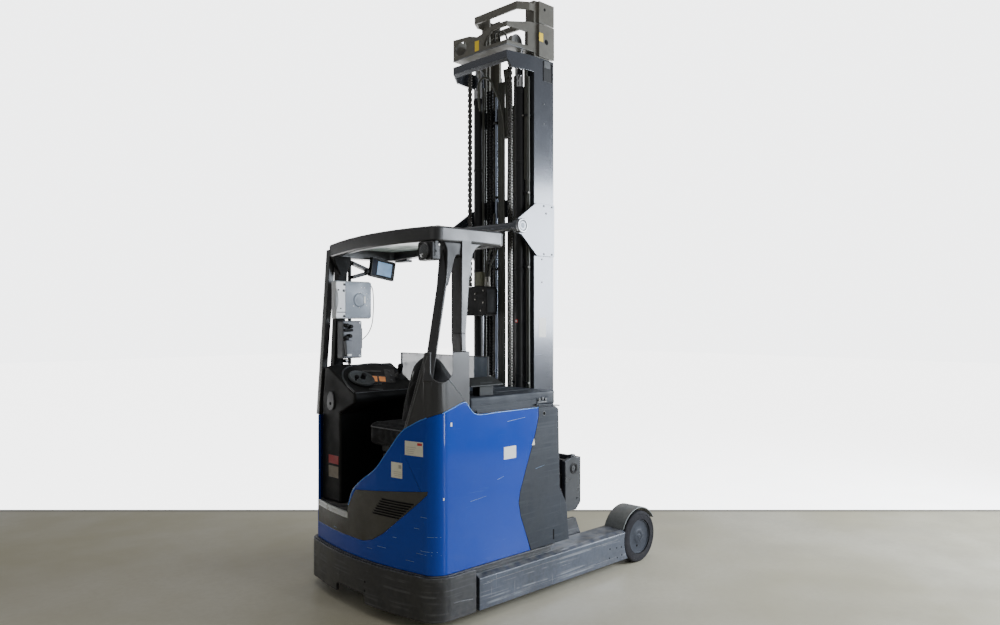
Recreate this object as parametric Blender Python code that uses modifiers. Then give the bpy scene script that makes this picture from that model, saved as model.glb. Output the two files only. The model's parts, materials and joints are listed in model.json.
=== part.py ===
"""Sit-on reach truck with a three-stage mast that slides out between its wheel arms, in metres.

X points forwards, Y to the left and Z up. Stations along X are measured from the rearmost point of the bumper,
and one empty moves the whole truck so that the world's origin is on the floor under its middle.
"""

import math

import bmesh
import bpy
from mathutils import Matrix, Vector

# Overall sizes
HALF_WIDTH = 0.635
SEAT_GAP = 0.0003
RUNNING_GAP = 0.006
THROUGH = 0.5

# Load wheels and wheel arms
WHEEL_X = 1.920
WHEEL_R = 0.175
WHEEL_WIDTH = 0.100
WHEEL_TREAD = 0.057
WHEEL_RECESS = 0.012
WHEEL_AXLE_R = 0.028
WHEEL_OUTER_Y = HALF_WIDTH - 0.010
HUB_R = WHEEL_R - WHEEL_TREAD
ARM_REAR_X = 0.395
ARM_WIDTH = 0.180
ARM_LOW = 0.058
ARM_TOP = 0.254
ARM_CHAMFER = 0.030
ARM_CREASE = ARM_TOP - 0.018
ARM_INNER_Y = HALF_WIDTH - ARM_WIDTH
CHEEK_THICK = 0.014
CHANNEL_LOW = 0.102
CHANNEL_HIGH = 0.216
CHANNEL_DEPTH = 0.050
CHANNEL_END_X = WHEEL_X + 0.110
FENDER_THICK = 0.008
FENDER_R = WHEEL_R + 0.019
WHEEL_SPACE_R = WHEEL_R + 0.015

# Bumper skirt
BUMPER_LOW = 0.058
BUMPER_HIGH = 0.294
BUMPER_BOW = 0.060
BUMPER_CORNER_R = 0.130
BUMPER_WALL = 0.020
BUMPER_FRONT_X = ARM_REAR_X - 0.023
NOTCH_HALF = 0.150
NOTCH_TOP = 0.112
NOTCH_CORNER_R = 0.030

# Body and chassis
BODY_INSET = 0.026
BODY_WALL = 0.018
BODY_HALF = HALF_WIDTH - BODY_INSET
BODY_LOW = 0.3003
BODY_EDGE = 1.147
BODY_PEAK_X = 0.309
BODY_PEAK = 1.225
JAMB_Y = BODY_HALF - 0.074
JAMB_TOP = 1.070
DECK_THICK = 0.024
DECK_LOW = BUMPER_HIGH + 0.006
DECK_TOP = DECK_LOW + DECK_THICK
DECK_FRONT_X = 1.040
SILL_LOW = 0.075
SILL_WIDTH = 0.055
SILL_PLATE = 0.025
FLOOR_TOP = 0.536
FLOOR_THICK = 0.030
RIB_THICK = 0.020
BULKHEAD_X = 0.640
BULKHEAD_THICK = 0.020
STEP_HIGH = 0.033
COVER_LOW = 1.160
COVER_HIGH = 1.240
COVER_ROUND = 0.022
COVER_REAR_X = 0.345
COVER_FRONT_X = 1.060
SIDE_WALL = 0.018
BATTERY_HALF = 0.440
BATTERY_TOP = 1.100

# Drive unit
DRIVE_X = 0.330
DRIVE_Y = 0.060
DRIVE_R = 0.180
DRIVE_WIDTH = 0.130
DRIVE_TREAD = 0.075
DRIVE_HUB_R = DRIVE_R - DRIVE_TREAD
DRIVE_AXLE_R = 0.030
PIVOT_R = 0.110
TURRET_R = DRIVE_R + 0.005
TURRET_TOP = 2 * DRIVE_R + 0.035
TURRET_WALL = 0.018
FORK_PLATE = 0.010
FORK_LEG = 0.034
MOTOR_R = 0.100
MOTOR_HIGH = 0.090

# Overhead guard
GUARD_LOW = 2.105
GUARD_THICK = 0.086
GUARD_HIGH = GUARD_LOW + GUARD_THICK
GUARD_FALL = 0.040
GUARD_REAR_X = 0.150
GUARD_BOW = 0.050
GUARD_FRONT_X = 0.700
GUARD_HALF = HALF_WIDTH - 0.090
GUARD_RAIL = 0.070
GUARD_REAR_RAIL = 0.035
GUARD_JOINT = 0.015
GUARD_CORNER_R = 0.060
HOUSING_WALL = 0.030
WINDOW_R = 0.058
WINDOW_S = 0.527
WINDOW_Z = 1.397
PANE_THICK = 0.008
LAMP_X = (0.125, 0.190)
LAMP_Y = (-0.545, -0.420)
LAMP_HIGH = 0.105
SCREEN_X = 0.660
SCREEN_THICK = 0.006
SCREEN_HALF = 0.420
SCREEN_TOP = 1.450

# Mast
MAST_REAR_X = 1.205
MAST_DEPTH = 0.192
MAST_FRONT_X = MAST_REAR_X + MAST_DEPTH
MAST_HALF = 0.293
MAST_LOW = 0.100
OUTER_TOP = 3.410
MIDDLE_TOP = 3.640
INNER_TOP = 3.800
FLANGE = 0.014
FLANGE_REACH = 0.094
STAGE_GAP = 0.006
STAGE_STEP = FLANGE + STAGE_GAP
STAGE_LIFT = 0.012
PAD_HIGH = 0.150
BAR_HIGH = 0.120
BAR_LOWS = (0.450, 1.080, 2.370, 3.000)
HEAD_WALL = 0.016
HEAD_REAR_X = 0.982
HEAD_CORNER = 0.260
HEAD_SLOPE = 0.040
HEAD_HIGH = 0.105
HEAD_RIM = 0.030
HEAD_RISE = 0.045
HEAD_BAR = 0.050
TOP_BAR_REAR_X = 1.130
TOP_BAR_CORNER = 0.205
PULLEY_R = 0.046
CHAIN_X = 1.079
CHAIN_Y = 0.1945
CHAIN_TOP = 3.440
CHAIN_PITCH = 0.057
CHAIN_THICK = 0.012
CHAIN_HALF = 0.019
CYLINDER_X = 1.165
CYLINDER_Y = 0.200
CYLINDER_R = 0.032
ROD_R = 0.023
ROD_OUT = 0.035
RAM_X = MAST_REAR_X + 0.085
RAM_Y = -0.012
RAM_R = 0.038
RAM_LOW = 0.260
RAM_TOP = 2.300
TIE_X = 1.036
TIE_Z = 2.276
TIE_R = 0.030
TIE_BOSS_R = 0.045
TIE_BOSS_LONG = 0.042
TIE_PLATE = 0.018

# Reach carriage
REACH_REAR_X = 1.060
REACH_FRONT_X = 1.520
REACH_LOW = 0.072
REACH_PLATE = 0.030
REACH_HIGH = 0.360
ROLLER_R = 0.050
ROLLER_WIDTH = 0.036

# Fork carriage
CARRIAGE_X = MAST_FRONT_X + 0.013
CARRIAGE_THICK = 0.030
CARRIAGE_HALF = 0.370
CARRIAGE_LOW = 0.560
CARRIAGE_HIGH = 0.735
CARRIAGE_ROLLER_R = MAST_DEPTH / 2 - 2 * STAGE_STEP - FLANGE - SEAT_GAP
TILT_X = 1.462
TILT_Z = 0.680
TILT_SHAFT_R = 0.020
FRAME_HALF = 0.400
FRAME_PLATE = 0.030
FRAME_FRONT_X = 1.535

# Cab
SEAT_X = 0.340
SEAT_HALF = 0.220
SEAT_LOW = 0.940
SEAT_TOP = 1.080
BACK_TOP = 1.500
CONSOLE_X = (0.120, 0.620)
CONSOLE_Y = (0.330, 0.535)
WHEEL_RIM_R = 0.085
POLE_X = 0.300
POLE_Y = 0.500
POLE_R = 0.012
TERMINAL_X = (0.130, 0.400)
TERMINAL_Z = (1.680, 1.920)
HOLDER_X = (0.175, 0.320)
HOLDER_Z = (1.430, 1.668)
MONITOR_X = (0.415, 0.611)
MONITOR_Z = (1.944, 2.071)
MONITOR_TURN = 9
CABLE_R = 0.0025

LEFT, RIGHT = 1, -1

COLOURS = {
    "blue": (0.012, 0.10, 0.42, 0.35, 0.0),
    "graphite": (0.045, 0.050, 0.058, 0.45, 0.2),
    "arm_grey": (0.060, 0.070, 0.090, 0.45, 0.3),
    "black": (0.012, 0.012, 0.013, 0.55, 0.0),
    "mast_grey": (0.050, 0.050, 0.052, 0.38, 0.5),
    "steel": (0.55, 0.55, 0.56, 0.30, 1.0),
    "rubber": (0.018, 0.018, 0.018, 0.85, 0.0),
    "wheel_grey": (0.10, 0.10, 0.105, 0.60, 0.0),
    "aluminium": (0.62, 0.63, 0.64, 0.35, 1.0),
    "clear": (0.75, 0.80, 0.80, 0.08, 0.0),
    "light_grey": (0.45, 0.46, 0.48, 0.50, 0.0),
}


def fresh_scene():
    for obj in list(bpy.data.objects):
        bpy.data.objects.remove(obj)


def collection(name):
    made = bpy.data.collections.new(name)
    bpy.context.scene.collection.children.link(made)
    return made


def material(name):
    red, green, blue, rough, metal = COLOURS[name]
    made = bpy.data.materials.get(name)
    if made is None:
        made = bpy.data.materials.new(name)
        made.use_nodes = True
        shader = made.node_tree.nodes["Principled BSDF"]
        shader.inputs["Base Color"].default_value = (red, green, blue, 1.0)
        shader.inputs["Roughness"].default_value = rough
        shader.inputs["Metallic"].default_value = metal
    return made


fresh_scene()
PARTS = collection("reach_truck")
CUTTERS = collection("cutters")

TRUCK = bpy.data.objects.new("truck_origin", None)
TRUCK.location = (-(WHEEL_X + WHEEL_R) / 2, 0.0, 0.0)
PARTS.objects.link(TRUCK)


def place(mesh, name, colour=None, parent=TRUCK):
    """Link a mesh as a named piece, or as a cutter where it has no colour."""
    made = bpy.data.objects.new(name, mesh)
    made.parent = parent
    if colour is None:
        CUTTERS.objects.link(made)
        made.hide_render = True
        made.display_type = "WIRE"
    else:
        PARTS.objects.link(made)
        mesh.materials.append(material(colour))
    return made


def box_mesh(x, y, z):
    """A box between three (low, high) pairs."""
    shape = bmesh.new()
    bmesh.ops.create_cube(shape, size=1.0)
    size = Vector((x[1] - x[0], y[1] - y[0], z[1] - z[0]))
    middle = Vector((x[0] + x[1], y[0] + y[1], z[0] + z[1])) / 2
    stretch = Matrix.Translation(middle) @ Matrix.Diagonal((*size, 1.0))
    bmesh.ops.transform(shape, matrix=stretch, verts=shape.verts)
    mesh = bpy.data.meshes.new("box")
    shape.to_mesh(mesh)
    shape.free()
    return mesh


def drum_mesh(centre, radius, length, axis="y", sides=32, far_radius=None):
    """A cylinder or cone centred on a point, along x, y or z."""
    shape = bmesh.new()
    bmesh.ops.create_cone(
        shape,
        cap_ends=True,
        segments=sides,
        radius1=radius,
        radius2=radius if far_radius is None else far_radius,
        depth=length,
    )
    turn = {
        "x": Matrix.Rotation(math.pi / 2, 4, "Y"),
        "y": Matrix.Rotation(-math.pi / 2, 4, "X"),
        "z": Matrix.Identity(4),
    }[axis]
    bmesh.ops.transform(shape, matrix=Matrix.Translation(centre) @ turn, verts=shape.verts)
    mesh = bpy.data.meshes.new("drum")
    shape.to_mesh(mesh)
    shape.free()
    return mesh


def slab_mesh(outline, low, high, plane="xy"):
    """A flat outline made thick from low to high across its plane: xy along z, xz along y, yz along x."""
    curve = bpy.data.curves.new("outline", "CURVE")
    curve.dimensions = "2D"
    curve.fill_mode = "BOTH"
    curve.extrude = (high - low) / 2
    line = curve.splines.new("POLY")
    line.points.add(len(outline) - 1)
    for point, (first, second) in zip(line.points, outline):
        point.co = (first, second, 0.0, 1.0)
    line.use_cyclic_u = True
    flat = bpy.data.objects.new("outline", curve)
    CUTTERS.objects.link(flat)
    graph = bpy.context.evaluated_depsgraph_get()
    mesh = bpy.data.meshes.new_from_object(flat.evaluated_get(graph))
    bpy.data.objects.remove(flat)
    shape = bmesh.new()
    shape.from_mesh(mesh)
    bmesh.ops.remove_doubles(shape, verts=shape.verts, dist=0.00001)
    middle = (low + high) / 2
    turn = {
        "xy": Matrix.Translation((0.0, 0.0, middle)),
        "xz": Matrix.Translation((0.0, middle, 0.0)) @ Matrix.Rotation(math.pi / 2, 4, "X"),
        "yz": Matrix.Translation((middle, 0.0, 0.0)) @ Matrix(((0, 0, 1), (1, 0, 0), (0, 1, 0))).to_4x4(),
    }[plane]
    bmesh.ops.transform(shape, matrix=turn, verts=shape.verts)
    bmesh.ops.recalc_face_normals(shape, faces=shape.faces)
    shape.to_mesh(mesh)
    shape.free()
    return mesh


def beam_mesh(start, end, width, depth, side=(0.0, 1.0, 0.0)):
    """A straight box from start to end: its depth lies along side, its width across both."""
    start, end = Vector(start), Vector(end)
    along = (end - start).normalized()
    across = along.cross(Vector(side)).normalized()
    other = along.cross(across).normalized()
    shape = bmesh.new()
    bmesh.ops.create_cube(shape, size=1.0)
    turn = Matrix((across, other, along)).transposed().to_4x4()
    size = Matrix.Diagonal((width, depth, (end - start).length, 1.0))
    bmesh.ops.transform(shape, matrix=Matrix.Translation((start + end) / 2) @ turn @ size, verts=shape.verts)
    mesh = bpy.data.meshes.new("beam")
    shape.to_mesh(mesh)
    shape.free()
    return mesh


def arc(centre, radius, start, end, steps):
    """Points on a circle from one angle to another, in degrees."""
    turns = [math.radians(start + (end - start) * step / steps) for step in range(steps + 1)]
    return [(centre[0] + radius * math.cos(turn), centre[1] + radius * math.sin(turn)) for turn in turns]


def rounded(low, high, radius, steps=4):
    """A rectangle's outline with round corners."""
    corners = ((high[0], high[1], 0), (low[0], high[1], 90), (low[0], low[1], 180), (high[0], low[1], 270))
    points = []
    for across, up, start in corners:
        centre_across = across - math.copysign(radius, across - low[0] - radius)
        centre_up = up - math.copysign(radius, up - low[1] - radius)
        points += arc((centre_across, centre_up), radius, start, start + 90, steps)
    return points


def grown(outline, distance):
    """The outline with each of its sides moved outwards by a distance."""
    area = sum(a[0] * b[1] - b[0] * a[1] for a, b in zip(outline, outline[1:] + outline[:1]))
    turn = 1 if area > 0 else -1
    points = []
    for before, here, after in zip(outline[-1:] + outline[:-1], outline, outline[1:] + outline[:1]):
        first = (Vector(here) - Vector(before)).normalized()
        second = (Vector(after) - Vector(here)).normalized()
        first_out = Vector((first.y, -first.x)) * turn
        second_out = Vector((second.y, -second.x)) * turn
        middle = (first_out + second_out).normalized()
        moved = Vector(here) + middle * (distance / max(0.2, middle.dot(first_out)))
        points.append((moved.x, moved.y))
    return points


def boolean(piece, meshes, operation, name):
    """Cut meshes from a piece, or join them to it, each by its own hidden helper."""
    for number, mesh in enumerate(meshes):
        helper = place(mesh, f"{piece.name}_{name}_{number}", None, piece.parent)
        helper.matrix_parent_inverse = piece.matrix_parent_inverse
        modifier = piece.modifiers.new(f"{name}_{number}", "BOOLEAN")
        modifier.operation = operation
        modifier.object = helper
    return piece


def cut(piece, *meshes, name="cut"):
    return boolean(piece, meshes, "DIFFERENCE", name)


def join(piece, *meshes, name="join"):
    return boolean(piece, meshes, "UNION", name)


def bevel(piece, width, segments=2, angle=50):
    modifier = piece.modifiers.new("edges", "BEVEL")
    modifier.width = width
    modifier.segments = segments
    modifier.limit_method = "ANGLE"
    modifier.angle_limit = math.radians(angle)
    return piece


def tube_mesh(points, radius, resolution=3):
    """A round bar or hose along a list of points, closed at both ends."""
    curve = bpy.data.curves.new("tube", "CURVE")
    curve.dimensions = "3D"
    curve.bevel_depth = radius
    curve.bevel_resolution = resolution
    curve.use_fill_caps = True
    line = curve.splines.new("POLY")
    line.points.add(len(points) - 1)
    for point, place_at in zip(line.points, points):
        point.co = (*place_at, 1.0)
    bent = bpy.data.objects.new("tube", curve)
    CUTTERS.objects.link(bent)
    graph = bpy.context.evaluated_depsgraph_get()
    mesh = bpy.data.meshes.new_from_object(bent.evaluated_get(graph))
    bpy.data.objects.remove(bent)
    shape = bmesh.new()
    shape.from_mesh(mesh)
    bmesh.ops.remove_doubles(shape, verts=shape.verts, dist=0.00001)
    bmesh.ops.recalc_face_normals(shape, faces=shape.faces)
    shape.to_mesh(mesh)
    shape.free()
    return mesh


def rear_plan(inset, front_x, steps=8):
    """The truck's plan from its right side round the bowed rear to its left side, drawn in by inset."""
    side = HALF_WIDTH - inset
    corner = BUMPER_CORNER_R - inset
    corner_x = BUMPER_BOW + inset + corner
    right = arc((corner_x, -side + corner), corner, 270, 180, steps)
    reach = side - corner
    bow = []
    for number in range(1, 6):
        across = -reach + 2 * reach * number / 6
        bow.append((inset + BUMPER_BOW * (across / reach) ** 2, across))
    left = [(x, -y) for x, y in reversed(right)]
    return [(front_x, -side)] + right + bow + left + [(front_x, side)]


def ring_outline(outer, inner):
    """One closed outline from an outer path and the inner path that runs beside it."""
    return outer + list(reversed(inner))


# Truck frame and running gear


def build_bumper():
    outer = rear_plan(0.0, BUMPER_FRONT_X)
    inner = rear_plan(BUMPER_WALL, BUMPER_FRONT_X)
    skirt = place(slab_mesh(ring_outline(outer, inner), BUMPER_LOW, BUMPER_HIGH), "bumper", "graphite")
    notch = rounded((DRIVE_Y - NOTCH_HALF, -NOTCH_TOP), (DRIVE_Y + NOTCH_HALF, NOTCH_TOP), NOTCH_CORNER_R)
    return cut(skirt, slab_mesh(notch, -THROUGH, BUMPER_WALL * 3, "yz"))


def build_deck():
    """The plate that everything stands on, with sills beside the arms and an upright plate behind the mast."""
    inset = BODY_INSET + BODY_WALL + SEAT_GAP
    deck = place(slab_mesh(rear_plan(inset, DECK_FRONT_X), DECK_LOW - 0.002, DECK_TOP), "chassis", "graphite")
    join(deck, slab_mesh(rear_plan(BUMPER_WALL * 0.6, DECK_FRONT_X), BUMPER_HIGH + SEAT_GAP, DECK_LOW), name="ledge")
    pieces = []
    for side in (RIGHT, LEFT):
        outer = side * (ARM_INNER_Y - SEAT_GAP)
        inner = side * (ARM_INNER_Y - SILL_WIDTH)
        pieces.append(box_mesh((ARM_REAR_X, DECK_FRONT_X), sorted((outer, inner)), (SILL_LOW, DECK_LOW + 0.01)))
        over = side * (HALF_WIDTH - BUMPER_WALL - ARM_CHAMFER)
        above = (ARM_TOP + SEAT_GAP, DECK_LOW - 0.001)
        pieces.append(box_mesh((ARM_REAR_X + 0.02, DECK_FRONT_X), sorted((over, inner)), above))
    reach = ARM_INNER_Y - SILL_WIDTH + 0.01
    pieces.append(box_mesh((0.72, DECK_FRONT_X), (-reach, reach), (SILL_LOW, SILL_LOW + SILL_PLATE)))
    upright = (DECK_FRONT_X - BULKHEAD_THICK, DECK_FRONT_X)
    pieces.append(box_mesh(upright, (-ARM_INNER_Y + 0.005, ARM_INNER_Y - 0.005), (SILL_LOW, 0.80)))
    join(deck, *pieces)
    pivot = (DRIVE_X, DRIVE_Y)
    house_top = TURRET_TOP + 0.001
    house = drum_mesh((*pivot, (DECK_LOW + house_top) / 2), TURRET_R, house_top - DECK_LOW - 0.002, "z", 40)
    join(deck, house, name="turret")
    inside_top = TURRET_TOP - TURRET_WALL
    inside = drum_mesh((*pivot, inside_top / 2), TURRET_R - TURRET_WALL, inside_top, "z", 40)
    return cut(deck, inside, drum_mesh((*pivot, TURRET_TOP), PIVOT_R + SEAT_GAP * 2, 0.2, "z", 64), name="pivot")


def arm_section(side):
    """Section across one arm in the yz plane, outer face first."""
    outer, inner = HALF_WIDTH, ARM_INNER_Y
    points = [
        (outer, ARM_LOW),
        (outer, ARM_CREASE),
        (outer - ARM_CHAMFER, ARM_TOP),
        (inner, ARM_TOP),
        (inner, CHANNEL_HIGH),
        (inner + CHANNEL_DEPTH, CHANNEL_HIGH),
        (inner + CHANNEL_DEPTH, CHANNEL_LOW),
        (inner, CHANNEL_LOW),
        (inner, ARM_LOW),
    ]
    return [(side * across, up) for across, up in points]


def build_arm(side, word):
    """A wheel arm: a box with the rollers' channel inside, round behind the wheel, and a cheek that holds it."""
    arm = place(slab_mesh(arm_section(side), ARM_REAR_X, CHANNEL_END_X, "yz"), f"arm_{word}", "arm_grey")
    cheek = ARM_INNER_Y + CHANNEL_DEPTH + CHEEK_THICK
    space = drum_mesh((WHEEL_X, side * (cheek + THROUGH / 2), WHEEL_R), WHEEL_SPACE_R, THROUGH, "y", 48)
    nose = box_mesh((WHEEL_X, WHEEL_X + THROUGH), sorted((side * cheek, side * (cheek + THROUGH))), (0.0, THROUGH))
    stub = WHEEL_OUTER_Y - cheek - WHEEL_RECESS
    axle = drum_mesh((WHEEL_X, side * (cheek + stub / 2 - 0.005), WHEEL_R), WHEEL_AXLE_R, stub + 0.010, "y", 24)
    cut(arm, space, nose)
    return join(arm, axle, name="axle")


def build_fender(side, word):
    """A bent plate over the load wheel, standing on the arm's cheek."""
    outer = arc((WHEEL_X, WHEEL_R), FENDER_R + FENDER_THICK, 32, 158, 12)
    inner = arc((WHEEL_X, WHEEL_R), FENDER_R, 158, 32, 12)
    low, high = sorted((side * (ARM_INNER_Y + 0.006), side * (HALF_WIDTH - 0.015)))
    fender = place(slab_mesh(outer + inner, low, high, "xz"), f"fender_{word}", "graphite")
    below = box_mesh(
        (WHEEL_X - THROUGH, WHEEL_X + THROUGH),
        sorted((side * (ARM_INNER_Y - 0.01), side * (HALF_WIDTH + 0.01))),
        (0.0, ARM_TOP + SEAT_GAP),
    )
    return cut(fender, below)


def build_load_wheel(side, word):
    middle = Vector((WHEEL_X, side * (WHEEL_OUTER_Y - WHEEL_WIDTH / 2), WHEEL_R))
    tyre = place(drum_mesh(middle, WHEEL_R, WHEEL_WIDTH, "y", 40), f"load_tyre_{word}", "wheel_grey")
    bevel(tyre, 0.008)
    cut(tyre, drum_mesh(middle, HUB_R + SEAT_GAP, THROUGH, "y", 40))
    hub = place(drum_mesh(middle, HUB_R, WHEEL_WIDTH - WHEEL_RECESS, "y", 40), f"load_hub_{word}", "wheel_grey")
    face = middle + Vector((0, side * WHEEL_WIDTH / 2, 0))
    cut(
        hub,
        drum_mesh(middle, WHEEL_AXLE_R + SEAT_GAP, THROUGH, "y", 24),
        drum_mesh(face, HUB_R - 0.014, 2 * WHEEL_RECESS, "y", 40),
    )


def build_drive():
    """The steered drive unit: a pivot in the wheelhouse, a leg beside the wheel, and the motor above."""
    plate_top = TURRET_TOP - TURRET_WALL - 0.003
    pivot = Vector((DRIVE_X, DRIVE_Y, 0.0))
    plate = drum_mesh(pivot + Vector((0, 0, plate_top - FORK_PLATE / 2)), TURRET_R - 0.035, FORK_PLATE, "z", 32)
    fork = place(plate, "drive_fork", "black")
    leg_y = DRIVE_Y - DRIVE_WIDTH / 2 - RUNNING_GAP
    leg = box_mesh((DRIVE_X - 0.07, DRIVE_X + 0.07), (leg_y - FORK_LEG, leg_y), (0.10, plate_top - 0.002))
    neck_high = TURRET_WALL + 0.018
    neck = drum_mesh(pivot + Vector((0, 0, plate_top + neck_high / 2 - 0.001)), PIVOT_R, neck_high, "z", 32)
    axle_y = (leg_y - 0.01 + DRIVE_Y + DRIVE_WIDTH / 2) / 2
    axle_long = DRIVE_Y + DRIVE_WIDTH / 2 - leg_y + 0.01
    axle = drum_mesh((DRIVE_X, axle_y, DRIVE_R), DRIVE_AXLE_R, axle_long, "y", 24)
    for number, piece in enumerate((neck, leg, axle)):
        join(fork, piece, name=f"part{number}")
    motor_z = plate_top + neck_high - 0.001 + SEAT_GAP + MOTOR_HIGH / 2
    place(drum_mesh(pivot + Vector((0, 0, motor_z)), MOTOR_R, MOTOR_HIGH, "z", 24), "drive_motor", "black")
    middle = Vector((DRIVE_X, DRIVE_Y, DRIVE_R))
    tyre = place(drum_mesh(middle, DRIVE_R, DRIVE_WIDTH, "y", 40), "drive_tyre", "rubber")
    hub = place(drum_mesh(middle, DRIVE_HUB_R, DRIVE_WIDTH - 0.01, "y", 40), "drive_hub", "graphite")
    bevel(tyre, 0.010)
    cut(tyre, drum_mesh(middle, DRIVE_HUB_R + SEAT_GAP, THROUGH, "y", 40))
    cut(hub, drum_mesh(middle, DRIVE_AXLE_R + SEAT_GAP, THROUGH, "y", 24))


# Body


def build_floor():
    inner = BODY_HALF - BODY_WALL - SEAT_GAP
    low = FLOOR_TOP - FLOOR_THICK
    outline = rear_plan(BODY_INSET + BODY_WALL + SEAT_GAP, BULKHEAD_X - SEAT_GAP)
    floor = place(slab_mesh(outline, low, FLOOR_TOP), "cab_floor", "black")
    ribs = [
        box_mesh(
            (0.20, BULKHEAD_X - SEAT_GAP),
            (middle - RIB_THICK / 2, middle + RIB_THICK / 2),
            (DECK_TOP + SEAT_GAP, low + 0.001),
        )
        for middle in (-inner + 0.03, DRIVE_Y - TURRET_R - 0.12, inner - 0.10)
    ]
    return join(floor, *ribs)


def build_bulkhead():
    half = BODY_HALF - BODY_WALL - SEAT_GAP
    high = (DECK_TOP + SEAT_GAP, COVER_LOW - 0.001)
    return place(box_mesh((BULKHEAD_X, BULKHEAD_X + BULKHEAD_THICK), (-half, half), high), "bulkhead", "black")


def shell(name, low, high, front_x, colour, wall=BODY_WALL):
    outer = rear_plan(BODY_INSET, front_x)
    inner = rear_plan(BODY_INSET + wall, front_x)
    return place(slab_mesh(ring_outline(outer, inner), low, high), name, colour)


def vent_outline():
    """The dark panel under the seat, in the yz plane, from its low left corner round to the right."""
    strip = FLOOR_TOP - STEP_HIGH
    low = BODY_LOW + 0.1
    return [
        (JAMB_Y - SEAT_GAP, low),
        (JAMB_Y - SEAT_GAP, strip - SEAT_GAP),
        (0.142, strip - SEAT_GAP),
        (0.109, 0.583),
        (0.035, 0.684),
        (-0.500, 0.745),
        (-0.548, 0.752),
        (-0.545, 0.735),
        (-0.480, 0.680),
        (-0.360, 0.583),
        (-0.220, 0.476),
        (-0.130, 0.426),
        (-0.044, 0.404),
    ]


def rear_edge():
    """The blue shell's upper edge across the rear, in the yz plane, from the doorway to the right corner."""
    corner = -BODY_HALF + 0.03
    return [(0.060, 0.675), (-0.025, 0.745), (-0.152, 0.826), (-0.380, 1.070), (-0.477, 1.122), (corner, 1.162)]


def side_edge():
    """The blue shell's upper edge along its side, in the xz plane, with the peak below the guard's pillar."""
    dip = BODY_PEAK_X + 0.098
    return [
        (0.1165, 1.162),
        (BODY_PEAK_X, BODY_PEAK),
        (0.335, 1.200),
        (0.365, 1.165),
        (dip, BODY_EDGE),
        (0.96, BODY_EDGE),
    ]


def grey_front():
    """What the dark battery cover takes of the side, in the xz plane: an S-shaped line and all that is before it."""
    return [
        (0.905, 1.40),
        (0.905, 1.09),
        (0.890, 1.03),
        (0.862, 0.95),
        (0.800, 0.80),
        (0.745, 0.66),
        (0.735, 0.60),
        (0.750, 0.52),
        (0.795, 0.41),
        (0.840, 0.29),
        (0.840, 0.0),
        (1.40, 0.0),
        (1.40, 1.40),
    ]


def build_body():
    """The blue right-hand shell, the dark vent panel below the seat, the step strip and the left-hand shell."""
    strip = FLOOR_TOP - STEP_HIGH
    right = shell("body_right", BODY_LOW, BODY_PEAK + 0.01, 0.95, "blue")
    rear_top = [(1.0, strip), (0.142, strip), (0.109, 0.583)] + rear_edge() + [(-1.0, 1.19), (-1.0, 2.0), (1.0, 2.0)]
    side_top = side_edge() + [(0.96, 2.0), (0.1165, 2.0)]
    cut(
        right,
        slab_mesh(rear_top, -THROUGH, 0.1165, "yz"),
        slab_mesh(side_top, -THROUGH * 2, 0.0, "xz"),
        box_mesh((-THROUGH, 1.0), (JAMB_Y, 1.0), (0.0, 2.0)),
        box_mesh((0.1165, 1.0), (-0.3, 1.0), (0.0, 2.0)),
        slab_mesh(grown(grey_front(), SEAT_GAP), -THROUGH * 2, -0.3, "xz"),
    )
    cut(right, slab_mesh(grown(vent_outline(), SEAT_GAP), -THROUGH, 0.14, "yz"), name="vent")
    panel = shell("vent_panel", 0.35, 0.80, 0.3, "graphite")
    boolean(panel, [slab_mesh(vent_outline(), -THROUGH, 0.14, "yz")], "INTERSECT", "outline")
    step = shell("step_strip", strip, FLOOR_TOP, 0.3, "aluminium")
    boolean(step, [box_mesh((-THROUGH, 0.14), (0.120, JAMB_Y - SEAT_GAP), (0.0, 1.0))], "INTERSECT", "length")
    cut(panel, box_mesh((-THROUGH, 0.14), (0.1195, JAMB_Y), (strip - SEAT_GAP, FLOOR_TOP)), name="step")
    cut(right, box_mesh((-THROUGH, 0.14), (0.1195, JAMB_Y), (strip - SEAT_GAP, FLOOR_TOP)), name="step")
    left = shell("body_left", BODY_LOW, BODY_EDGE, 0.95, "blue")
    jamb_top = [(-THROUGH, JAMB_TOP), (0.20, JAMB_TOP), (0.38, BODY_EDGE), (1.0, BODY_EDGE)]
    jamb_top += [(1.0, 2.0), (-THROUGH, 2.0)]
    return cut(
        left,
        box_mesh((-THROUGH, 1.0), (-1.0, JAMB_Y + SEAT_GAP), (0.0, 2.0)),
        slab_mesh(jamb_top, 0.0, THROUGH * 2, "xz"),
        slab_mesh(grown(grey_front(), SEAT_GAP), 0.3, THROUGH * 2, "xz"),
    )


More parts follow.
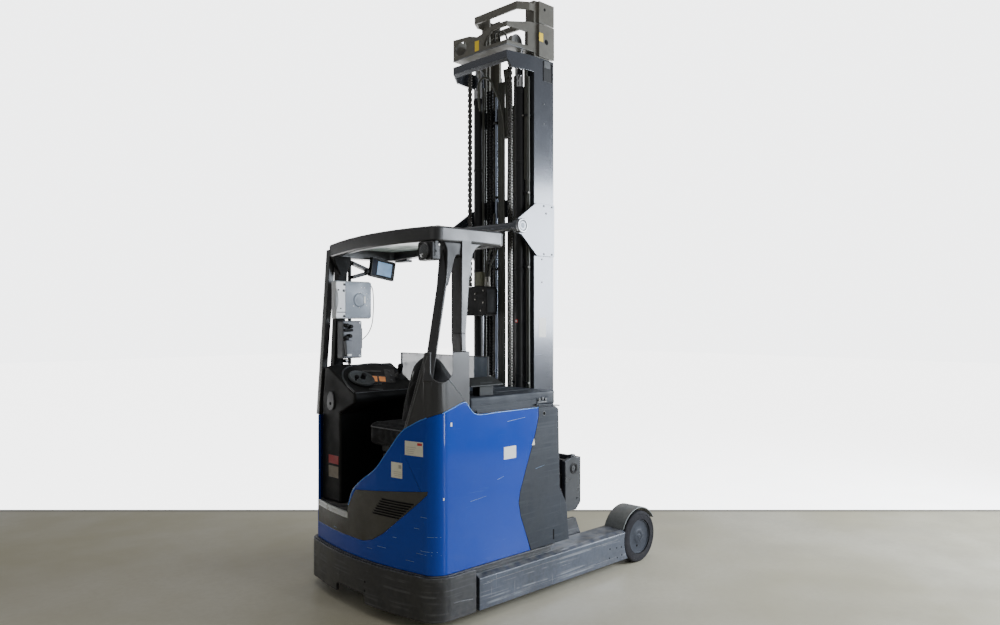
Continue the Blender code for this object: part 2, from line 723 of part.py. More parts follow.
def build_covers():
    back_x = BULKHEAD_X + 0.001
    inner = -BODY_HALF + 0.150
    plan = [
        (COVER_REAR_X, -BODY_HALF),
        (COVER_FRONT_X, -BODY_HALF),
        (COVER_FRONT_X, BODY_HALF),
        (back_x, BODY_HALF),
        (back_x, inner),
        (COVER_REAR_X, inner),
    ]
    cover = place(slab_mesh(plan, COVER_LOW, COVER_HIGH), "top_cover", "black")
    bevel(cover, COVER_ROUND, 3)
    skirt = box_mesh(
        (0.40, 0.905),
        (-BODY_HALF, -BODY_HALF + SIDE_WALL),
        (BODY_EDGE + SEAT_GAP, COVER_LOW + 0.03),
    )
    join(cover, skirt, name="skirt")
    over_peak = slab_mesh(grown(side_edge()[:5] + [(0.407, 0.9), (0.1165, 0.9)], SEAT_GAP), -1.0, -0.3, "xz")
    cut(cover, over_peak, name="peak")
    foot = COVER_HIGH + SEAT_GAP
    outline = [(-0.575, foot + 0.055), (-0.575, foot + 0.064), (-0.485, foot + 0.104), (-0.485, foot + 0.095)]
    tray = place(slab_mesh(outline, 0.385, 0.640, "yz"), "tray", "light_grey")
    join(tray, box_mesh((0.47, 0.58), (-0.555, -0.495), (foot, foot + 0.078)), name="foot")
    edge = [
        (0.905, BODY_EDGE),
        (1.060, BODY_EDGE - 0.004),
        (1.088, 1.124),
        (1.100, 0.64),
        (1.165, 0.52),
        (1.188, BODY_LOW),
    ]
    inset = [point for point in reversed(grey_front()[1:10])]
    inset[0] = (0.840, BODY_LOW)
    for side, word in ((RIGHT, "right"), (LEFT, "left")):
        low, high = sorted((side * (BODY_HALF - SIDE_WALL), side * BODY_HALF))
        place(slab_mesh(edge + inset, low, high, "xz"), f"battery_cover_{word}", "graphite")
    size = ((BULKHEAD_X + 0.04, DECK_FRONT_X - BULKHEAD_THICK - SEAT_GAP), (-BATTERY_HALF, BATTERY_HALF))
    battery = place(box_mesh(*size, (DECK_TOP + SEAT_GAP, BATTERY_TOP)), "battery", "graphite")
    bevel(battery, 0.01)


# Overhead guard


def post_mesh(foot, head):
    """A straight post between two level rectangles, each ((x, x), (y, y), z)."""
    shape = bmesh.new()
    bmesh.ops.create_cube(shape, size=1.0)
    for corner in shape.verts:
        x, y, z = head if corner.co.z > 0 else foot
        corner.co = (x[corner.co.x > 0], sorted(y)[corner.co.y > 0], z)
    mesh = bpy.data.meshes.new("post")
    shape.to_mesh(mesh)
    shape.free()
    return mesh


def guard_plan(inset, rear_inset, radius):
    """The roof frame's plan: round corners, and a rear edge that bows backwards between them."""
    half = GUARD_HALF - inset
    rear = GUARD_REAR_X + rear_inset
    outline = rounded((rear, -half), (GUARD_FRONT_X - inset, half), radius)
    straight = half - radius
    bow = [(rear - GUARD_BOW * (1 - (step / 4) ** 2), -straight * step / 4) for step in range(-3, 4)]
    first_rear = 2 * (len(outline) // 4)
    return outline[:first_rear] + bow + outline[first_rear:]


def guard_drop(y):
    """How far the roof frame has fallen at a place across it: it falls in a curve towards its left side."""
    return GUARD_FALL * max(0.0, (y + GUARD_HALF) / (2 * GUARD_HALF)) ** 2


def guard_section():
    """The roof frame's upper and lower curves, in the yz plane."""
    steps = [GUARD_HALF * (2 * step / 12 - 1) * 1.01 for step in range(13)]
    low = [(y, GUARD_LOW - guard_drop(y)) for y in steps]
    high = [(y, GUARD_HIGH - guard_drop(y)) for y in reversed(steps)]
    return low + high


def diagonal_slab(outline):
    """An outline in the plane that faces the right rear corner (across it, and up), made thick along 45 degrees."""
    mesh = slab_mesh(outline, -2.0, 2.0, "xz")
    mesh.transform(Matrix.Rotation(math.radians(-45), 4, "Z"))
    return mesh


def housing_mesh():
    """The moulded corner below the right pillars: it follows the body's corner and ends in the window's round foot."""
    outer = rear_plan(BODY_INSET, COVER_REAR_X - SEAT_GAP)
    inner = rear_plan(BODY_INSET + HOUSING_WALL, COVER_REAR_X - SEAT_GAP)
    housing = place(slab_mesh(ring_outline(outer, inner), 1.0, 1.50), "corner")
    lift = SEAT_GAP * 2
    rear = [(y, z + lift) for y, z in rear_edge()[3:]]
    below_rear = rear + [(-1.0, 1.162 + lift), (-1.0, 0.5), (-0.38, 0.5)]
    above_rear = [(-0.380, 1.073), (-0.528, 1.50), (-0.528, 2.0), (1.0, 2.0), (1.0, 0.5), (-0.380, 0.5)]
    side = [(x, z + lift) for x, z in side_edge()[:5]]
    below_side = side + [(0.407, 0.5), (0.1165, 0.5)]
    window = arc((WINDOW_S, WINDOW_Z), WINDOW_R, 180, 360, 12)
    window += [(WINDOW_S + WINDOW_R, 2.0), (WINDOW_S - WINDOW_R, 2.0)]
    cut(
        housing,
        slab_mesh(below_rear, -THROUGH, 0.1165, "yz"),
        slab_mesh(above_rear, -THROUGH, 0.4, "yz"),
        slab_mesh(below_side, -1.0, -0.3, "xz"),
        diagonal_slab(window),
    )
    graph = bpy.context.evaluated_depsgraph_get()
    return bpy.data.meshes.new_from_object(housing.evaluated_get(graph))


def guard_posts():
    """The posts: a bent one and a leaning one at the right rear, and two straight ones at the left rear."""
    head = GUARD_LOW + GUARD_JOINT
    knee = 1.60
    foot = COVER_HIGH + SEAT_GAP * 3
    right, left = -HALF_WIDTH, HALF_WIDTH
    at_foot = ((0.300, 0.336), (right + 0.030, right + 0.110), foot)
    at_knee = ((0.304, 0.337), (right + 0.050, right + 0.133))
    at_head = ((0.345, 0.415), (right + 0.090, right + 0.180), head)
    rear_foot = ((0.110, 0.150), (left - 0.075, left - 0.040), JAMB_TOP + SEAT_GAP)
    rear_head = ((0.152, 0.195), (left - 0.140, left - 0.092), head)
    next_foot = ((0.205, 0.270), (left - 0.085, left - 0.040), 1.105)
    next_head = ((0.222, 0.282), (left - 0.140, left - 0.092), head)
    leaning = ((0.108, right + 0.102, 1.34), (0.285, right + 0.137, head))
    return [
        post_mesh(at_foot, (*at_knee, knee)),
        post_mesh((*at_knee, knee - 0.002), at_head),
        beam_mesh(*leaning, 0.050, 0.055, (1.0, 1.0, 0.0)),
        post_mesh(rear_foot, rear_head),
        post_mesh(next_foot, next_head),
    ]


def build_guard():
    """The roof frame on its posts, with its clear pane, the lamp below its rear corner and the rear screen."""
    plan = slab_mesh(guard_plan(0.0, 0.0, GUARD_CORNER_R), GUARD_LOW - THROUGH, GUARD_HIGH + THROUGH)
    guard = place(plan, "overhead_guard", "black")
    section = slab_mesh(guard_section(), -THROUGH, GUARD_FRONT_X + THROUGH, "yz")
    boolean(guard, [section], "INTERSECT", "section")
    bevel(guard, 0.012, 2, 40)
    opening = guard_plan(GUARD_RAIL, GUARD_REAR_RAIL, GUARD_CORNER_R / 2)
    cut(guard, slab_mesh(opening, GUARD_LOW - THROUGH, GUARD_HIGH + THROUGH))
    for number, post in enumerate(guard_posts()):
        join(guard, post, name=f"post{number}")
    boolean(guard, [housing_mesh()], "UNION", "housing")
    pane_low = GUARD_LOW + GUARD_JOINT + PANE_THICK
    pane = guard_plan(GUARD_RAIL + SEAT_GAP, GUARD_REAR_RAIL + SEAT_GAP, GUARD_CORNER_R / 2)
    place(slab_mesh(pane, pane_low, pane_low + PANE_THICK), "roof_pane", "clear")
    lamp_top = GUARD_LOW - guard_drop(LAMP_Y[1]) - SEAT_GAP
    lamp = place(box_mesh(LAMP_X, LAMP_Y, (lamp_top - LAMP_HIGH, lamp_top)), "work_lamp", "black")
    bevel(lamp, 0.012)
    screen = ((SCREEN_X, SCREEN_X + SCREEN_THICK), (-SCREEN_HALF, SCREEN_HALF), (COVER_HIGH + SEAT_GAP, SCREEN_TOP))
    place(box_mesh(*screen), "rear_screen", "clear")
    return guard


# Cab inside


def build_seat():
    size = ((SEAT_X - 0.16, SEAT_X + 0.16), (-0.36, -0.02), (FLOOR_TOP + SEAT_GAP, SEAT_LOW))
    base = place(box_mesh(*size), "seat_base", "black")
    bevel(base, 0.02)
    across = (SEAT_X - SEAT_HALF, SEAT_X + SEAT_HALF)
    cushion = place(box_mesh(across, (-0.40, 0.08), (SEAT_LOW + SEAT_GAP, SEAT_TOP)), "seat_cushion", "black")
    bevel(cushion, 0.035, 3)
    foot = SEAT_TOP + SEAT_GAP
    section = [(-0.255, foot), (-0.365, foot), (-0.470, BACK_TOP - 0.03), (-0.450, BACK_TOP)]
    section += [(-0.395, BACK_TOP), (-0.360, BACK_TOP - 0.05)]
    back = place(slab_mesh(section, *across, "yz"), "seat_backrest", "black")
    bevel(back, 0.028, 3)


def build_console():
    """The dash in front of the driver: a flat foot, a round edge towards the seat and a sloped top."""
    low_y, high_y = CONSOLE_Y
    foot = FLOOR_TOP + SEAT_GAP
    outline = [(low_y, foot), (low_y, 1.10), (0.180, 1.17), (0.165, 1.20), (0.180, 1.23)]
    outline += [(0.470, 1.385), (0.510, 1.375), (high_y, 1.20), (high_y, foot)]
    console = place(slab_mesh(outline, *CONSOLE_X, "yz"), "console", "black")
    bevel(console, 0.014, 2)
    slope = math.atan2(0.155, 0.290)
    wheel = place(drum_mesh((0, 0, 0.013), WHEEL_RIM_R, 0.024, "z", 32), "steering_wheel", "black")
    wheel.location = (0.250, 0.300, 1.230 + 0.120 * math.tan(slope))
    wheel.rotation_euler = (slope, 0, 0)
    knob = drum_mesh((-0.055, -0.02, 0.035), 0.014, 0.036, "z", 16)
    join(wheel, knob)
    for modifier in wheel.modifiers:
        modifier.object.location = wheel.location
        modifier.object.rotation_euler = wheel.rotation_euler
    pedals = place(box_mesh((0.26, 0.50), (0.16, 0.28), (foot, foot + 0.03)), "pedals", "black")
    bevel(pedals, 0.006)


def tilted(piece, x, z, turn):
    """Turn a piece about the Y direction through a point, so that its side edges lean."""
    there = Matrix.Translation((x, 0, z))
    piece.data.transform(there @ Matrix.Rotation(math.radians(turn), 4, "Y") @ there.inverted())
    return piece


def build_screens():
    """The pole at the left of the dash, with a monitor, a terminal and a holder for a hand scanner on it."""
    pole_low = 1.3865
    pole_high = GUARD_LOW - guard_drop(POLE_Y + POLE_R) - SEAT_GAP
    middle = (POLE_X, POLE_Y, (pole_low + pole_high) / 2)
    pole = place(drum_mesh(middle, POLE_R, pole_high - pole_low, "z", 16), "device_pole", "black")
    face_y = POLE_Y - 0.045
    clamp = POLE_R + 0.003
    arms = [
        box_mesh((POLE_X - clamp, POLE_X + clamp), (face_y, POLE_Y), (z - clamp, z + clamp))
        for z in (1.50, 1.79)
    ]
    bracket = (MONITOR_X[0] + 0.040, (face_y + POLE_Y) / 2, sum(MONITOR_Z) / 2 - 0.018)
    for z in (bracket[2] + 0.052, bracket[2] - 0.042):
        arms.append(beam_mesh((POLE_X, bracket[1], z), bracket, 0.020, POLE_Y - face_y))
    join(pole, *arms)
    back = face_y - SEAT_GAP
    monitor = place(box_mesh(MONITOR_X, (back - 0.030, back), MONITOR_Z), "monitor", "black")
    tilted(monitor, sum(MONITOR_X) / 2, sum(MONITOR_Z) / 2, MONITOR_TURN)
    bevel(monitor, 0.006)
    terminal = place(box_mesh(TERMINAL_X, (back - 0.055, back), TERMINAL_Z), "terminal", "light_grey")
    bevel(terminal, 0.012)
    holder = place(box_mesh(HOLDER_X, (back - 0.070, back), HOLDER_Z), "scanner_holder", "light_grey")
    bevel(holder, 0.010)


def smooth_route(points, steps):
    """Points along a smooth curve through some points."""
    spots = [Vector(point) for point in points]
    spots = [2 * spots[0] - spots[1], *spots, 2 * spots[-1] - spots[-2]]
    route = []
    for before, first, last, after in zip(spots, spots[1:], spots[2:], spots[3:]):
        for step in range(steps):
            along = step / steps
            route.append(
                0.5
                * (
                    2 * first
                    + (last - before) * along
                    + (2 * before - 5 * first + 4 * last - after) * along**2
                    + (3 * first - before - 3 * last + after) * along**3
                )
            )
    return route + [spots[-2]]


def build_cable():
    """The terminal's thin cable, which leaves its right side and loops back to the holder below it."""
    start = TERMINAL_X[1] + SEAT_GAP
    end = HOLDER_X[1] + SEAT_GAP
    y = POLE_Y - 0.070
    points = [
        (start, y, 1.900),
        (start + 0.014, y, 1.899),
        (start + 0.031, y, 1.872),
        (start + 0.038, y, 1.800),
        (start + 0.036, y, 1.720),
        (start + 0.026, y, 1.645),
        (end + 0.078, y, 1.588),
        (end + 0.040, y, 1.553),
        (end + 0.016, y, 1.542),
        (end, y, 1.540),
    ]
    return place(tube_mesh(smooth_route(points, 4), CABLE_R, 2), "terminal_cable", "black")


# Mast


def stage_rear(stage):
    return MAST_REAR_X + stage * STAGE_STEP


def stage_web(stage):
    return MAST_HALF - stage * STAGE_STEP


def channel(side, stage, high):
    """One mast channel, open towards the middle. Stage 0 is the outer one and 2 the inner one."""
    rear, front = stage_rear(stage), MAST_FRONT_X - stage * STAGE_STEP
    outer = stage_web(stage)
    inner = MAST_HALF - FLANGE_REACH - stage * STAGE_LIFT
    points = [
        (rear, outer),
        (front, outer),
        (front, inner),
        (front - FLANGE, inner),
        (front - FLANGE, outer - FLANGE),
        (rear + FLANGE, outer - FLANGE),
        (rear + FLANGE, inner),
        (rear, inner),
    ]
    return slab_mesh([(x, side * y) for x, y in points], MAST_LOW + stage * STAGE_LIFT, high)


def slide_pads(stage):
    """Wear pads at a stage's foot, that run against the web of the stage outside it."""
    web = stage_web(stage)
    low = MAST_LOW + 0.05
    middle = (MAST_REAR_X + MAST_FRONT_X) / 2
    return [
        box_mesh(
            (middle - 0.02, middle + 0.02),
            sorted((side * (web - 0.002), side * (web + STAGE_GAP - SEAT_GAP))),
            (low, low + PAD_HIGH),
        )
        for side in (RIGHT, LEFT)
    ]


def bowed_head(stage, low, high, rear_x, corner):
    """A cross-member bowed backwards in plan, so that it clears the chains and cylinders."""
    front = stage_rear(stage) + 0.006
    half = stage_web(stage)
    wall = HEAD_WALL
    outer = [(front, half), (front - 0.05, half), (rear_x, corner)]
    inner = [(front, half - wall), (front - 0.045, half - wall), (rear_x + wall, corner - wall * 0.9)]
    path = [(x, -y) for x, y in outer] + list(reversed(outer))
    back = inner + [(x, -y) for x, y in reversed(inner)]
    return slab_mesh(path + back, low, high)


def head_windows(low, high):
    """The openings of the middle head: a round-ended one at the left, and one that runs round its right corner."""
    low, high = low + HEAD_RIM, high - HEAD_RIM
    left = rounded((0.125, low), (0.242, high), (high - low) / 2 - 0.001, 6)
    swept = [(-0.043, low + 0.008), (-0.052, low + 0.032), (-0.080, high - 0.022), (-0.125, high)]
    swept += [(-THROUGH, high), (-THROUGH, low), (-0.060, low)]
    beside = (-THROUGH, -(CHAIN_Y + 0.024))
    return [
        slab_mesh(left, HEAD_REAR_X - 0.05, HEAD_REAR_X + 0.05, "yz"),
        slab_mesh(swept, HEAD_REAR_X - 0.05, HEAD_REAR_X + 0.05, "yz"),
        box_mesh((HEAD_REAR_X, 1.165), beside, (low, high)),
    ]


def head_saddle(top):
    """The shallow dip in the middle head's upper edge, between its two openings."""
    dip = [(0.270, top), (0.100, top - 0.012), (0.020, top - 0.036), (-0.050, top - 0.024), (-0.120, top)]
    return slab_mesh(dip + [(-0.120, top + 0.1), (0.270, top + 0.1)], HEAD_REAR_X - 0.05, HEAD_REAR_X + 0.10, "yz")


def above_slope(start, end):
    """What lies above a line in the xz plane, over the whole width."""
    rear, high = start[0] - 0.1, end[1] + 0.1
    return slab_mesh([(rear, start[1]), start, end, (end[0], high), (rear, high)], -1, 1, "xz")


def below_slope(start, end):
    """What lies below a line in the xz plane, over the whole width."""
    rear, low = start[0] - 0.1, end[1] - 0.05
    return slab_mesh([(rear, start[1]), (rear, low), (end[0], low), end, start], -1, 1, "xz")


def top_plates(stage, low, high):
    """The side plates at a stage's top, which stand over the web of the stage outside it."""
    rear = stage_rear(stage) + 0.030
    outer = stage_web(stage) + STAGE_STEP - SEAT_GAP
    return [
        box_mesh((rear, rear + 0.150), sorted((side * (stage_web(stage) - 0.002), side * outer)), (low, high))
        for side in (RIGHT, LEFT)
    ]


def build_outer_mast():
    mast = place(channel(RIGHT, 0, OUTER_TOP), "outer_mast", "mast_grey")
    reach = MAST_HALF - FLANGE_REACH + 0.010
    bars = [box_mesh((MAST_REAR_X, MAST_REAR_X + FLANGE), (-reach, reach), (z, z + BAR_HIGH)) for z in BAR_LOWS]
    seat = BAR_LOWS[1] + BAR_HIGH - SEAT_GAP
    inner_y = -CHAIN_Y + CHAIN_HALF + 0.040
    anchor = [
        box_mesh((CHAIN_X - 0.014, CHAIN_X + 0.014), (-CHAIN_Y - 0.020, inner_y), (seat - 0.020, seat)),
        box_mesh((CHAIN_X - 0.014, MAST_REAR_X + 0.002), (inner_y - 0.030, inner_y), (seat - 0.020, seat)),
    ]
    head_low = OUTER_TOP - HEAD_HIGH
    head = bowed_head(0, head_low, OUTER_TOP - 0.002, HEAD_REAR_X, HEAD_CORNER)
    join(mast, channel(LEFT, 0, OUTER_TOP), head, *bars, *anchor)
    foot = (HEAD_REAR_X + HEAD_SLOPE, head_low)
    return cut(mast, below_slope((HEAD_REAR_X - 0.001, OUTER_TOP - HEAD_BAR), foot), name="slope")


def build_middle_mast():
    """The middle stage, whose head rests on the lift rods and carries the two chain pulleys."""
    low = OUTER_TOP + ROD_OUT
    mast = place(channel(RIGHT, 1, MIDDLE_TOP), "middle_mast", "mast_grey")
    half = stage_web(1) - 0.010
    floor = [(stage_rear(1) + 0.006, half), (1.150, half), (HEAD_REAR_X + 0.008, HEAD_CORNER - 0.010)]
    floor += [(x, -y) for x, y in reversed(floor)]
    shelf = slab_mesh(floor, low, low + HEAD_WALL)
    head = bowed_head(1, low, MIDDLE_TOP - 0.002, HEAD_REAR_X, HEAD_CORNER)
    join(mast, channel(LEFT, 1, MIDDLE_TOP), head, *slide_pads(1), shelf)
    join(mast, *top_plates(1, OUTER_TOP + 0.012, MIDDLE_TOP - 0.001), name="plate")
    for side in (RIGHT, LEFT):
        pulley_x = CHAIN_X + PULLEY_R
        centre_z = low + HEAD_WALL + PULLEY_R - 0.002
        join(mast, drum_mesh((pulley_x, side * CHAIN_Y, centre_z), PULLEY_R, 0.030, "y", 24), name=f"pulley{side}")
    rear_top = MIDDLE_TOP - HEAD_RISE
    slope = above_slope((HEAD_REAR_X + HEAD_WALL, rear_top), (stage_rear(1) - 0.020, MIDDLE_TOP))
    return cut(mast, slope, head_saddle(rear_top), *head_windows(low, rear_top), name="window")


def build_inner_mast():
    """The inner stage, with a slim bar round its top, a brace below it and a foot that carries the ram."""
    high = INNER_TOP - 0.022
    front = MAST_FRONT_X - 2 * STAGE_STEP
    mast = place(channel(RIGHT, 2, INNER_TOP), "inner_mast", "mast_grey")
    reach = stage_web(2) - 0.005
    foot = box_mesh((stage_rear(2) + 0.020, front - 0.020), (-reach, reach), (RAM_LOW - 0.020, RAM_LOW))
    brace_x = (MAST_REAR_X + 0.075, MAST_REAR_X + 0.095)
    brace = box_mesh(brace_x, (-reach, reach), (MIDDLE_TOP + 0.020, MIDDLE_TOP + 0.060))
    head = bowed_head(2, high - HEAD_BAR, high, TOP_BAR_REAR_X, TOP_BAR_CORNER)
    join(mast, channel(LEFT, 2, INNER_TOP), foot, brace, head, *slide_pads(2))
    return join(mast, *top_plates(2, MIDDLE_TOP + 0.014, INNER_TOP - 0.001), name="plate")


def build_reach():
    """The reach carriage: side plates on four rollers, and the bed that the outer mast stands on."""
    plate_out = ARM_INNER_Y - 0.010
    plate_in = plate_out - REACH_PLATE
    across = (-plate_in - 0.001, plate_in + 0.001)
    size = ((REACH_REAR_X, MAST_FRONT_X + 0.05), across, (REACH_LOW, MAST_LOW - SEAT_GAP))
    bed = place(box_mesh(*size), "reach_carriage", "graphite")
    pieces = []
    plate = [
        (REACH_REAR_X, REACH_LOW),
        (REACH_FRONT_X, REACH_LOW),
        (REACH_FRONT_X, 0.20),
        (MAST_FRONT_X + 0.05, REACH_HIGH),
        (MAST_REAR_X - 0.05, REACH_HIGH),
        (REACH_REAR_X, 0.22),
    ]
    for side in (RIGHT, LEFT):
        pieces.append(slab_mesh(plate, *sorted((side * plate_in, side * plate_out)), "xz"))
        block = sorted((side * (MAST_HALF + SEAT_GAP), side * (plate_in + 0.001)))
        pieces.append(box_mesh((MAST_REAR_X - 0.03, MAST_FRONT_X - 0.002), block, (MAST_LOW - 0.002, 0.30)))
        for x in (REACH_REAR_X + 0.06, REACH_FRONT_X - 0.06):
            z = CHANNEL_LOW + ROLLER_R + SEAT_GAP
            hub_y = plate_out + 0.010
            roller_y = ARM_INNER_Y + 0.006 + ROLLER_WIDTH / 2
            pieces.append(drum_mesh((x, side * hub_y, z), 0.018, 0.04, "y", 16))
            pieces.append(drum_mesh((x, side * roller_y, z), ROLLER_R, ROLLER_WIDTH, "y", 28))
    return join(bed, *pieces)


def build_cylinders():
    """The two lift cylinders with their rods, and the free-lift ram that stands on the inner stage's foot."""
    low, high = MAST_LOW, OUTER_TOP - 0.21
    bore_low, bore_high = low + 0.02, high + 0.1
    rod_low, rod_high = low + 0.03, OUTER_TOP + ROD_OUT - SEAT_GAP
    for side, word in ((RIGHT, "right"), (LEFT, "left")):
        spot = (CYLINDER_X, side * CYLINDER_Y)
        outside = drum_mesh((*spot, (low + high) / 2), CYLINDER_R, high - low, "z", 24)
        barrel = place(outside, f"lift_cylinder_{word}", "black")
        bore = drum_mesh((*spot, (bore_low + bore_high) / 2), ROD_R + SEAT_GAP, bore_high - bore_low, "z", 24)
        cut(barrel, bore)
        rod = drum_mesh((*spot, (rod_low + rod_high) / 2), ROD_R, rod_high - rod_low, "z", 24)
        place(rod, f"lift_rod_{word}", "steel")
    ram_low = RAM_LOW + SEAT_GAP
    ram = drum_mesh((RAM_X, RAM_Y, (ram_low + RAM_TOP) / 2), RAM_R, RAM_TOP - ram_low, "z", 24)
    place(ram, "free_lift_cylinder", "black")


def build_chains():
    """Each chain hangs behind the mast as one notched strip."""
    right_low = BAR_LOWS[1] + BAR_HIGH
    depth = (CHAIN_X - CHAIN_THICK / 2, CHAIN_X + CHAIN_THICK / 2)
    wide, waist = CHAIN_HALF, CHAIN_HALF * 0.7
    for side, word, low in ((RIGHT, "right", right_low), (LEFT, "left", 1.90)):
        edge = []
        for number in range(int((CHAIN_TOP - low) / CHAIN_PITCH)):
            z = low + number * CHAIN_PITCH
            edge += [(wide, z), (wide, z + CHAIN_PITCH * 0.6)]
            edge += [(waist, z + CHAIN_PITCH * 0.7), (waist, z + CHAIN_PITCH * 0.9)]
        outline = edge + [(-y, z) for y, z in reversed(edge)]
        strip = slab_mesh([(side * CHAIN_Y + y, z) for y, z in outline], *depth, "yz")
        place(strip, f"chain_{word}", "black")


def build_tie():
    """The tube across the back of the mast, with a boss at each end and the two plates that hold it."""
    plate_out = MAST_HALF + TIE_PLATE
    half = plate_out + TIE_BOSS_LONG
    tie = place(drum_mesh((TIE_X, 0, TIE_Z), TIE_R, 2 * half, "y", 24), "mast_tie", "mast_grey")
    front = MAST_FRONT_X - 0.012
    plate = [
        (TIE_X - 0.040, TIE_Z - 0.010),
        (TIE_X - 0.032, TIE_Z + 0.030),
        (TIE_X, TIE_Z + 0.050),
        (MAST_REAR_X, TIE_Z + 0.165),
        (front, TIE_Z + 0.165),
        (front, TIE_Z - 0.181),
        (MAST_REAR_X + 0.010, TIE_Z - 0.181),
        (TIE_X + 0.030, TIE_Z - 0.050),
        (TIE_X - 0.020, TIE_Z - 0.045),
    ]
    boss_y = plate_out + TIE_BOSS_LONG / 2 - 0.002
    for side in (RIGHT, LEFT):
        across = sorted((side * (MAST_HALF + SEAT_GAP), side * plate_out))
        join(tie, slab_mesh(plate, *across, "xz"), name=f"plate{side}")
        boss = drum_mesh((TIE_X, side * boss_y, TIE_Z), TIE_BOSS_R, TIE_BOSS_LONG, "y", 32)
        join(tie, boss, name=f"boss{side}")
    outline = rounded((-0.005, 1.700), (0.228, 1.8997), 0.030, 3)
    valve = place(slab_mesh(outline, CHAIN_X - 0.030, CYLINDER_X - 0.015, "yz"), "valve_block", "black")
    seat = drum_mesh((CYLINDER_X, CYLINDER_Y, 1.80), CYLINDER_R + SEAT_GAP * 2, THROUGH, "z", 24)
    return cut(valve, seat)


def build_fork_carriage():
    """The lift carriage on its rollers, its tilt shaft, and the frame that tilts on that shaft."""
    front = CARRIAGE_X + CARRIAGE_THICK
    size = ((CARRIAGE_X, front), (-CARRIAGE_HALF, CARRIAGE_HALF), (CARRIAGE_LOW, CARRIAGE_HIGH))
    beam = place(box_mesh(*size), "lift_carriage", "graphite")
    middle = (MAST_REAR_X + MAST_FRONT_X) / 2
    inner_lip = MAST_HALF - FLANGE_REACH - 2 * STAGE_LIFT
    inner_web = stage_web(2) - FLANGE
    pieces = []
    for side in (RIGHT, LEFT):
        plate = sorted((side * (inner_lip - 0.010), side * (inner_lip - 0.035)))
        pieces.append(box_mesh((middle - 0.050, CARRIAGE_X + 0.002), plate, (0.42, 0.90)))
        roller_low, roller_high = inner_lip - 0.012, inner_web - RUNNING_GAP
        for z in (0.47, 0.85):
            roller = (middle, side * (roller_low + roller_high) / 2, z)
            pieces.append(drum_mesh(roller, CARRIAGE_ROLLER_R, roller_high - roller_low, "y", 24))
        lug = sorted((side * 0.20, side * 0.23))
        pieces.append(box_mesh((front - 0.005, TILT_X + 0.034), lug, (TILT_Z - 0.034, TILT_Z + 0.034)))
    pieces.append(drum_mesh((TILT_X, 0, TILT_Z), TILT_SHAFT_R, 2 * FRAME_HALF, "y", 24))
    for number, piece in enumerate(pieces):
        join(beam, piece, name=f"part{number}")
    frame = place(box_mesh((1.478, 1.510), (-FRAME_HALF, FRAME_HALF), (0.425, 0.475)), "fork_frame", "mast_grey")
    side_plate = [
        (1.375, 0.400),
        (1.490, 0.400),
        (FRAME_FRONT_X, 0.445),
        (FRAME_FRONT_X, 0.750),
        (1.485, 0.750),
        (1.478, 0.772),
        (1.440, 0.772),
        (1.430, 0.750),
        (1.375, 0.735),
    ]
    for side in (RIGHT, LEFT):
        plate = sorted((side * (FRAME_HALF - FRAME_PLATE / 2), side * (FRAME_HALF + FRAME_PLATE / 2)))
        join(frame, slab_mesh(side_plate, *plate, "xz"), name=f"side{side}")
    join(frame, box_mesh((1.505, FRAME_FRONT_X), (-FRAME_HALF, FRAME_HALF), (0.715, 0.750)), name="top")
    return cut(frame, drum_mesh((TILT_X, 0, TILT_Z), TILT_SHAFT_R + SEAT_GAP, 2, "y", 24))


def main():
    build_bumper()
    build_deck()
    for side, word in ((RIGHT, "right"), (LEFT, "left")):
        build_arm(side, word)
        build_fender(side, word)
        build_load_wheel(side, word)
    build_drive()
    build_floor()
    build_bulkhead()
    build_body()
    build_covers()
    build_guard()
    build_seat()
    build_console()
    build_screens()
    build_cable()
    build_reach()
    build_outer_mast()
    build_middle_mast()
    build_inner_mast()
    build_cylinders()
    build_chains()
    build_tie()
    build_fork_carriage()


if __name__ == "__main__":
    main()
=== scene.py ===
import json
import logging
import math
from dataclasses import dataclass
from enum import Enum
from typing import Optional, Sequence

import bmesh
import bpy
from mathutils import Matrix, Vector
from mathutils.bvhtree import BVHTree


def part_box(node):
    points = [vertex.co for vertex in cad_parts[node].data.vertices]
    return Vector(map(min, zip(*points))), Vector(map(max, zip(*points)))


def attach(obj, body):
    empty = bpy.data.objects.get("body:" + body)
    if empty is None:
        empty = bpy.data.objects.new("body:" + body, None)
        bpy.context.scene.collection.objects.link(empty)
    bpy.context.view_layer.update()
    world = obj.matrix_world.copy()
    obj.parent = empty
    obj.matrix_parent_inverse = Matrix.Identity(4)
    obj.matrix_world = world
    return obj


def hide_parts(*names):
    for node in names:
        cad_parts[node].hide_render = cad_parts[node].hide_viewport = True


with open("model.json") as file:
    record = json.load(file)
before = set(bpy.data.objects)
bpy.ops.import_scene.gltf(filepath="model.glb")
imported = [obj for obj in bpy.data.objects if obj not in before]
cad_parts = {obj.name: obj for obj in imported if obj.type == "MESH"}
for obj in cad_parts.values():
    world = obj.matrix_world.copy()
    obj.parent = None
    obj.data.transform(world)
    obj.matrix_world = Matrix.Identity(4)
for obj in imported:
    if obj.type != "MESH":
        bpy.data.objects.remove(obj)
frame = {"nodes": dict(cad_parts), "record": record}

# Looks of a sit-on reach truck. Stations along X are measured from the rearmost point of the bumper, as in the
# part's source; every finished piece is moved to the shared frame at the end.

LOG = logging.getLogger("reach_truck")
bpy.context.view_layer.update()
ORIGIN = Vector((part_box("bumper")[0].x, 0.0, 0.0))
RIGHT, LEFT = -1, 1
SIDES = ((RIGHT, "right"), (LEFT, "left"))
DOWN = (0.0, 0.0, -1.0)
MADE: dict[str, bpy.types.Material] = {}

Point = tuple[float, float, float]
Pair = tuple[float, float]
Colour = tuple[float, float, float]

DUST: Colour = (0.24, 0.225, 0.20)
FLOOR_DIRT: Colour = (0.19, 0.175, 0.155)
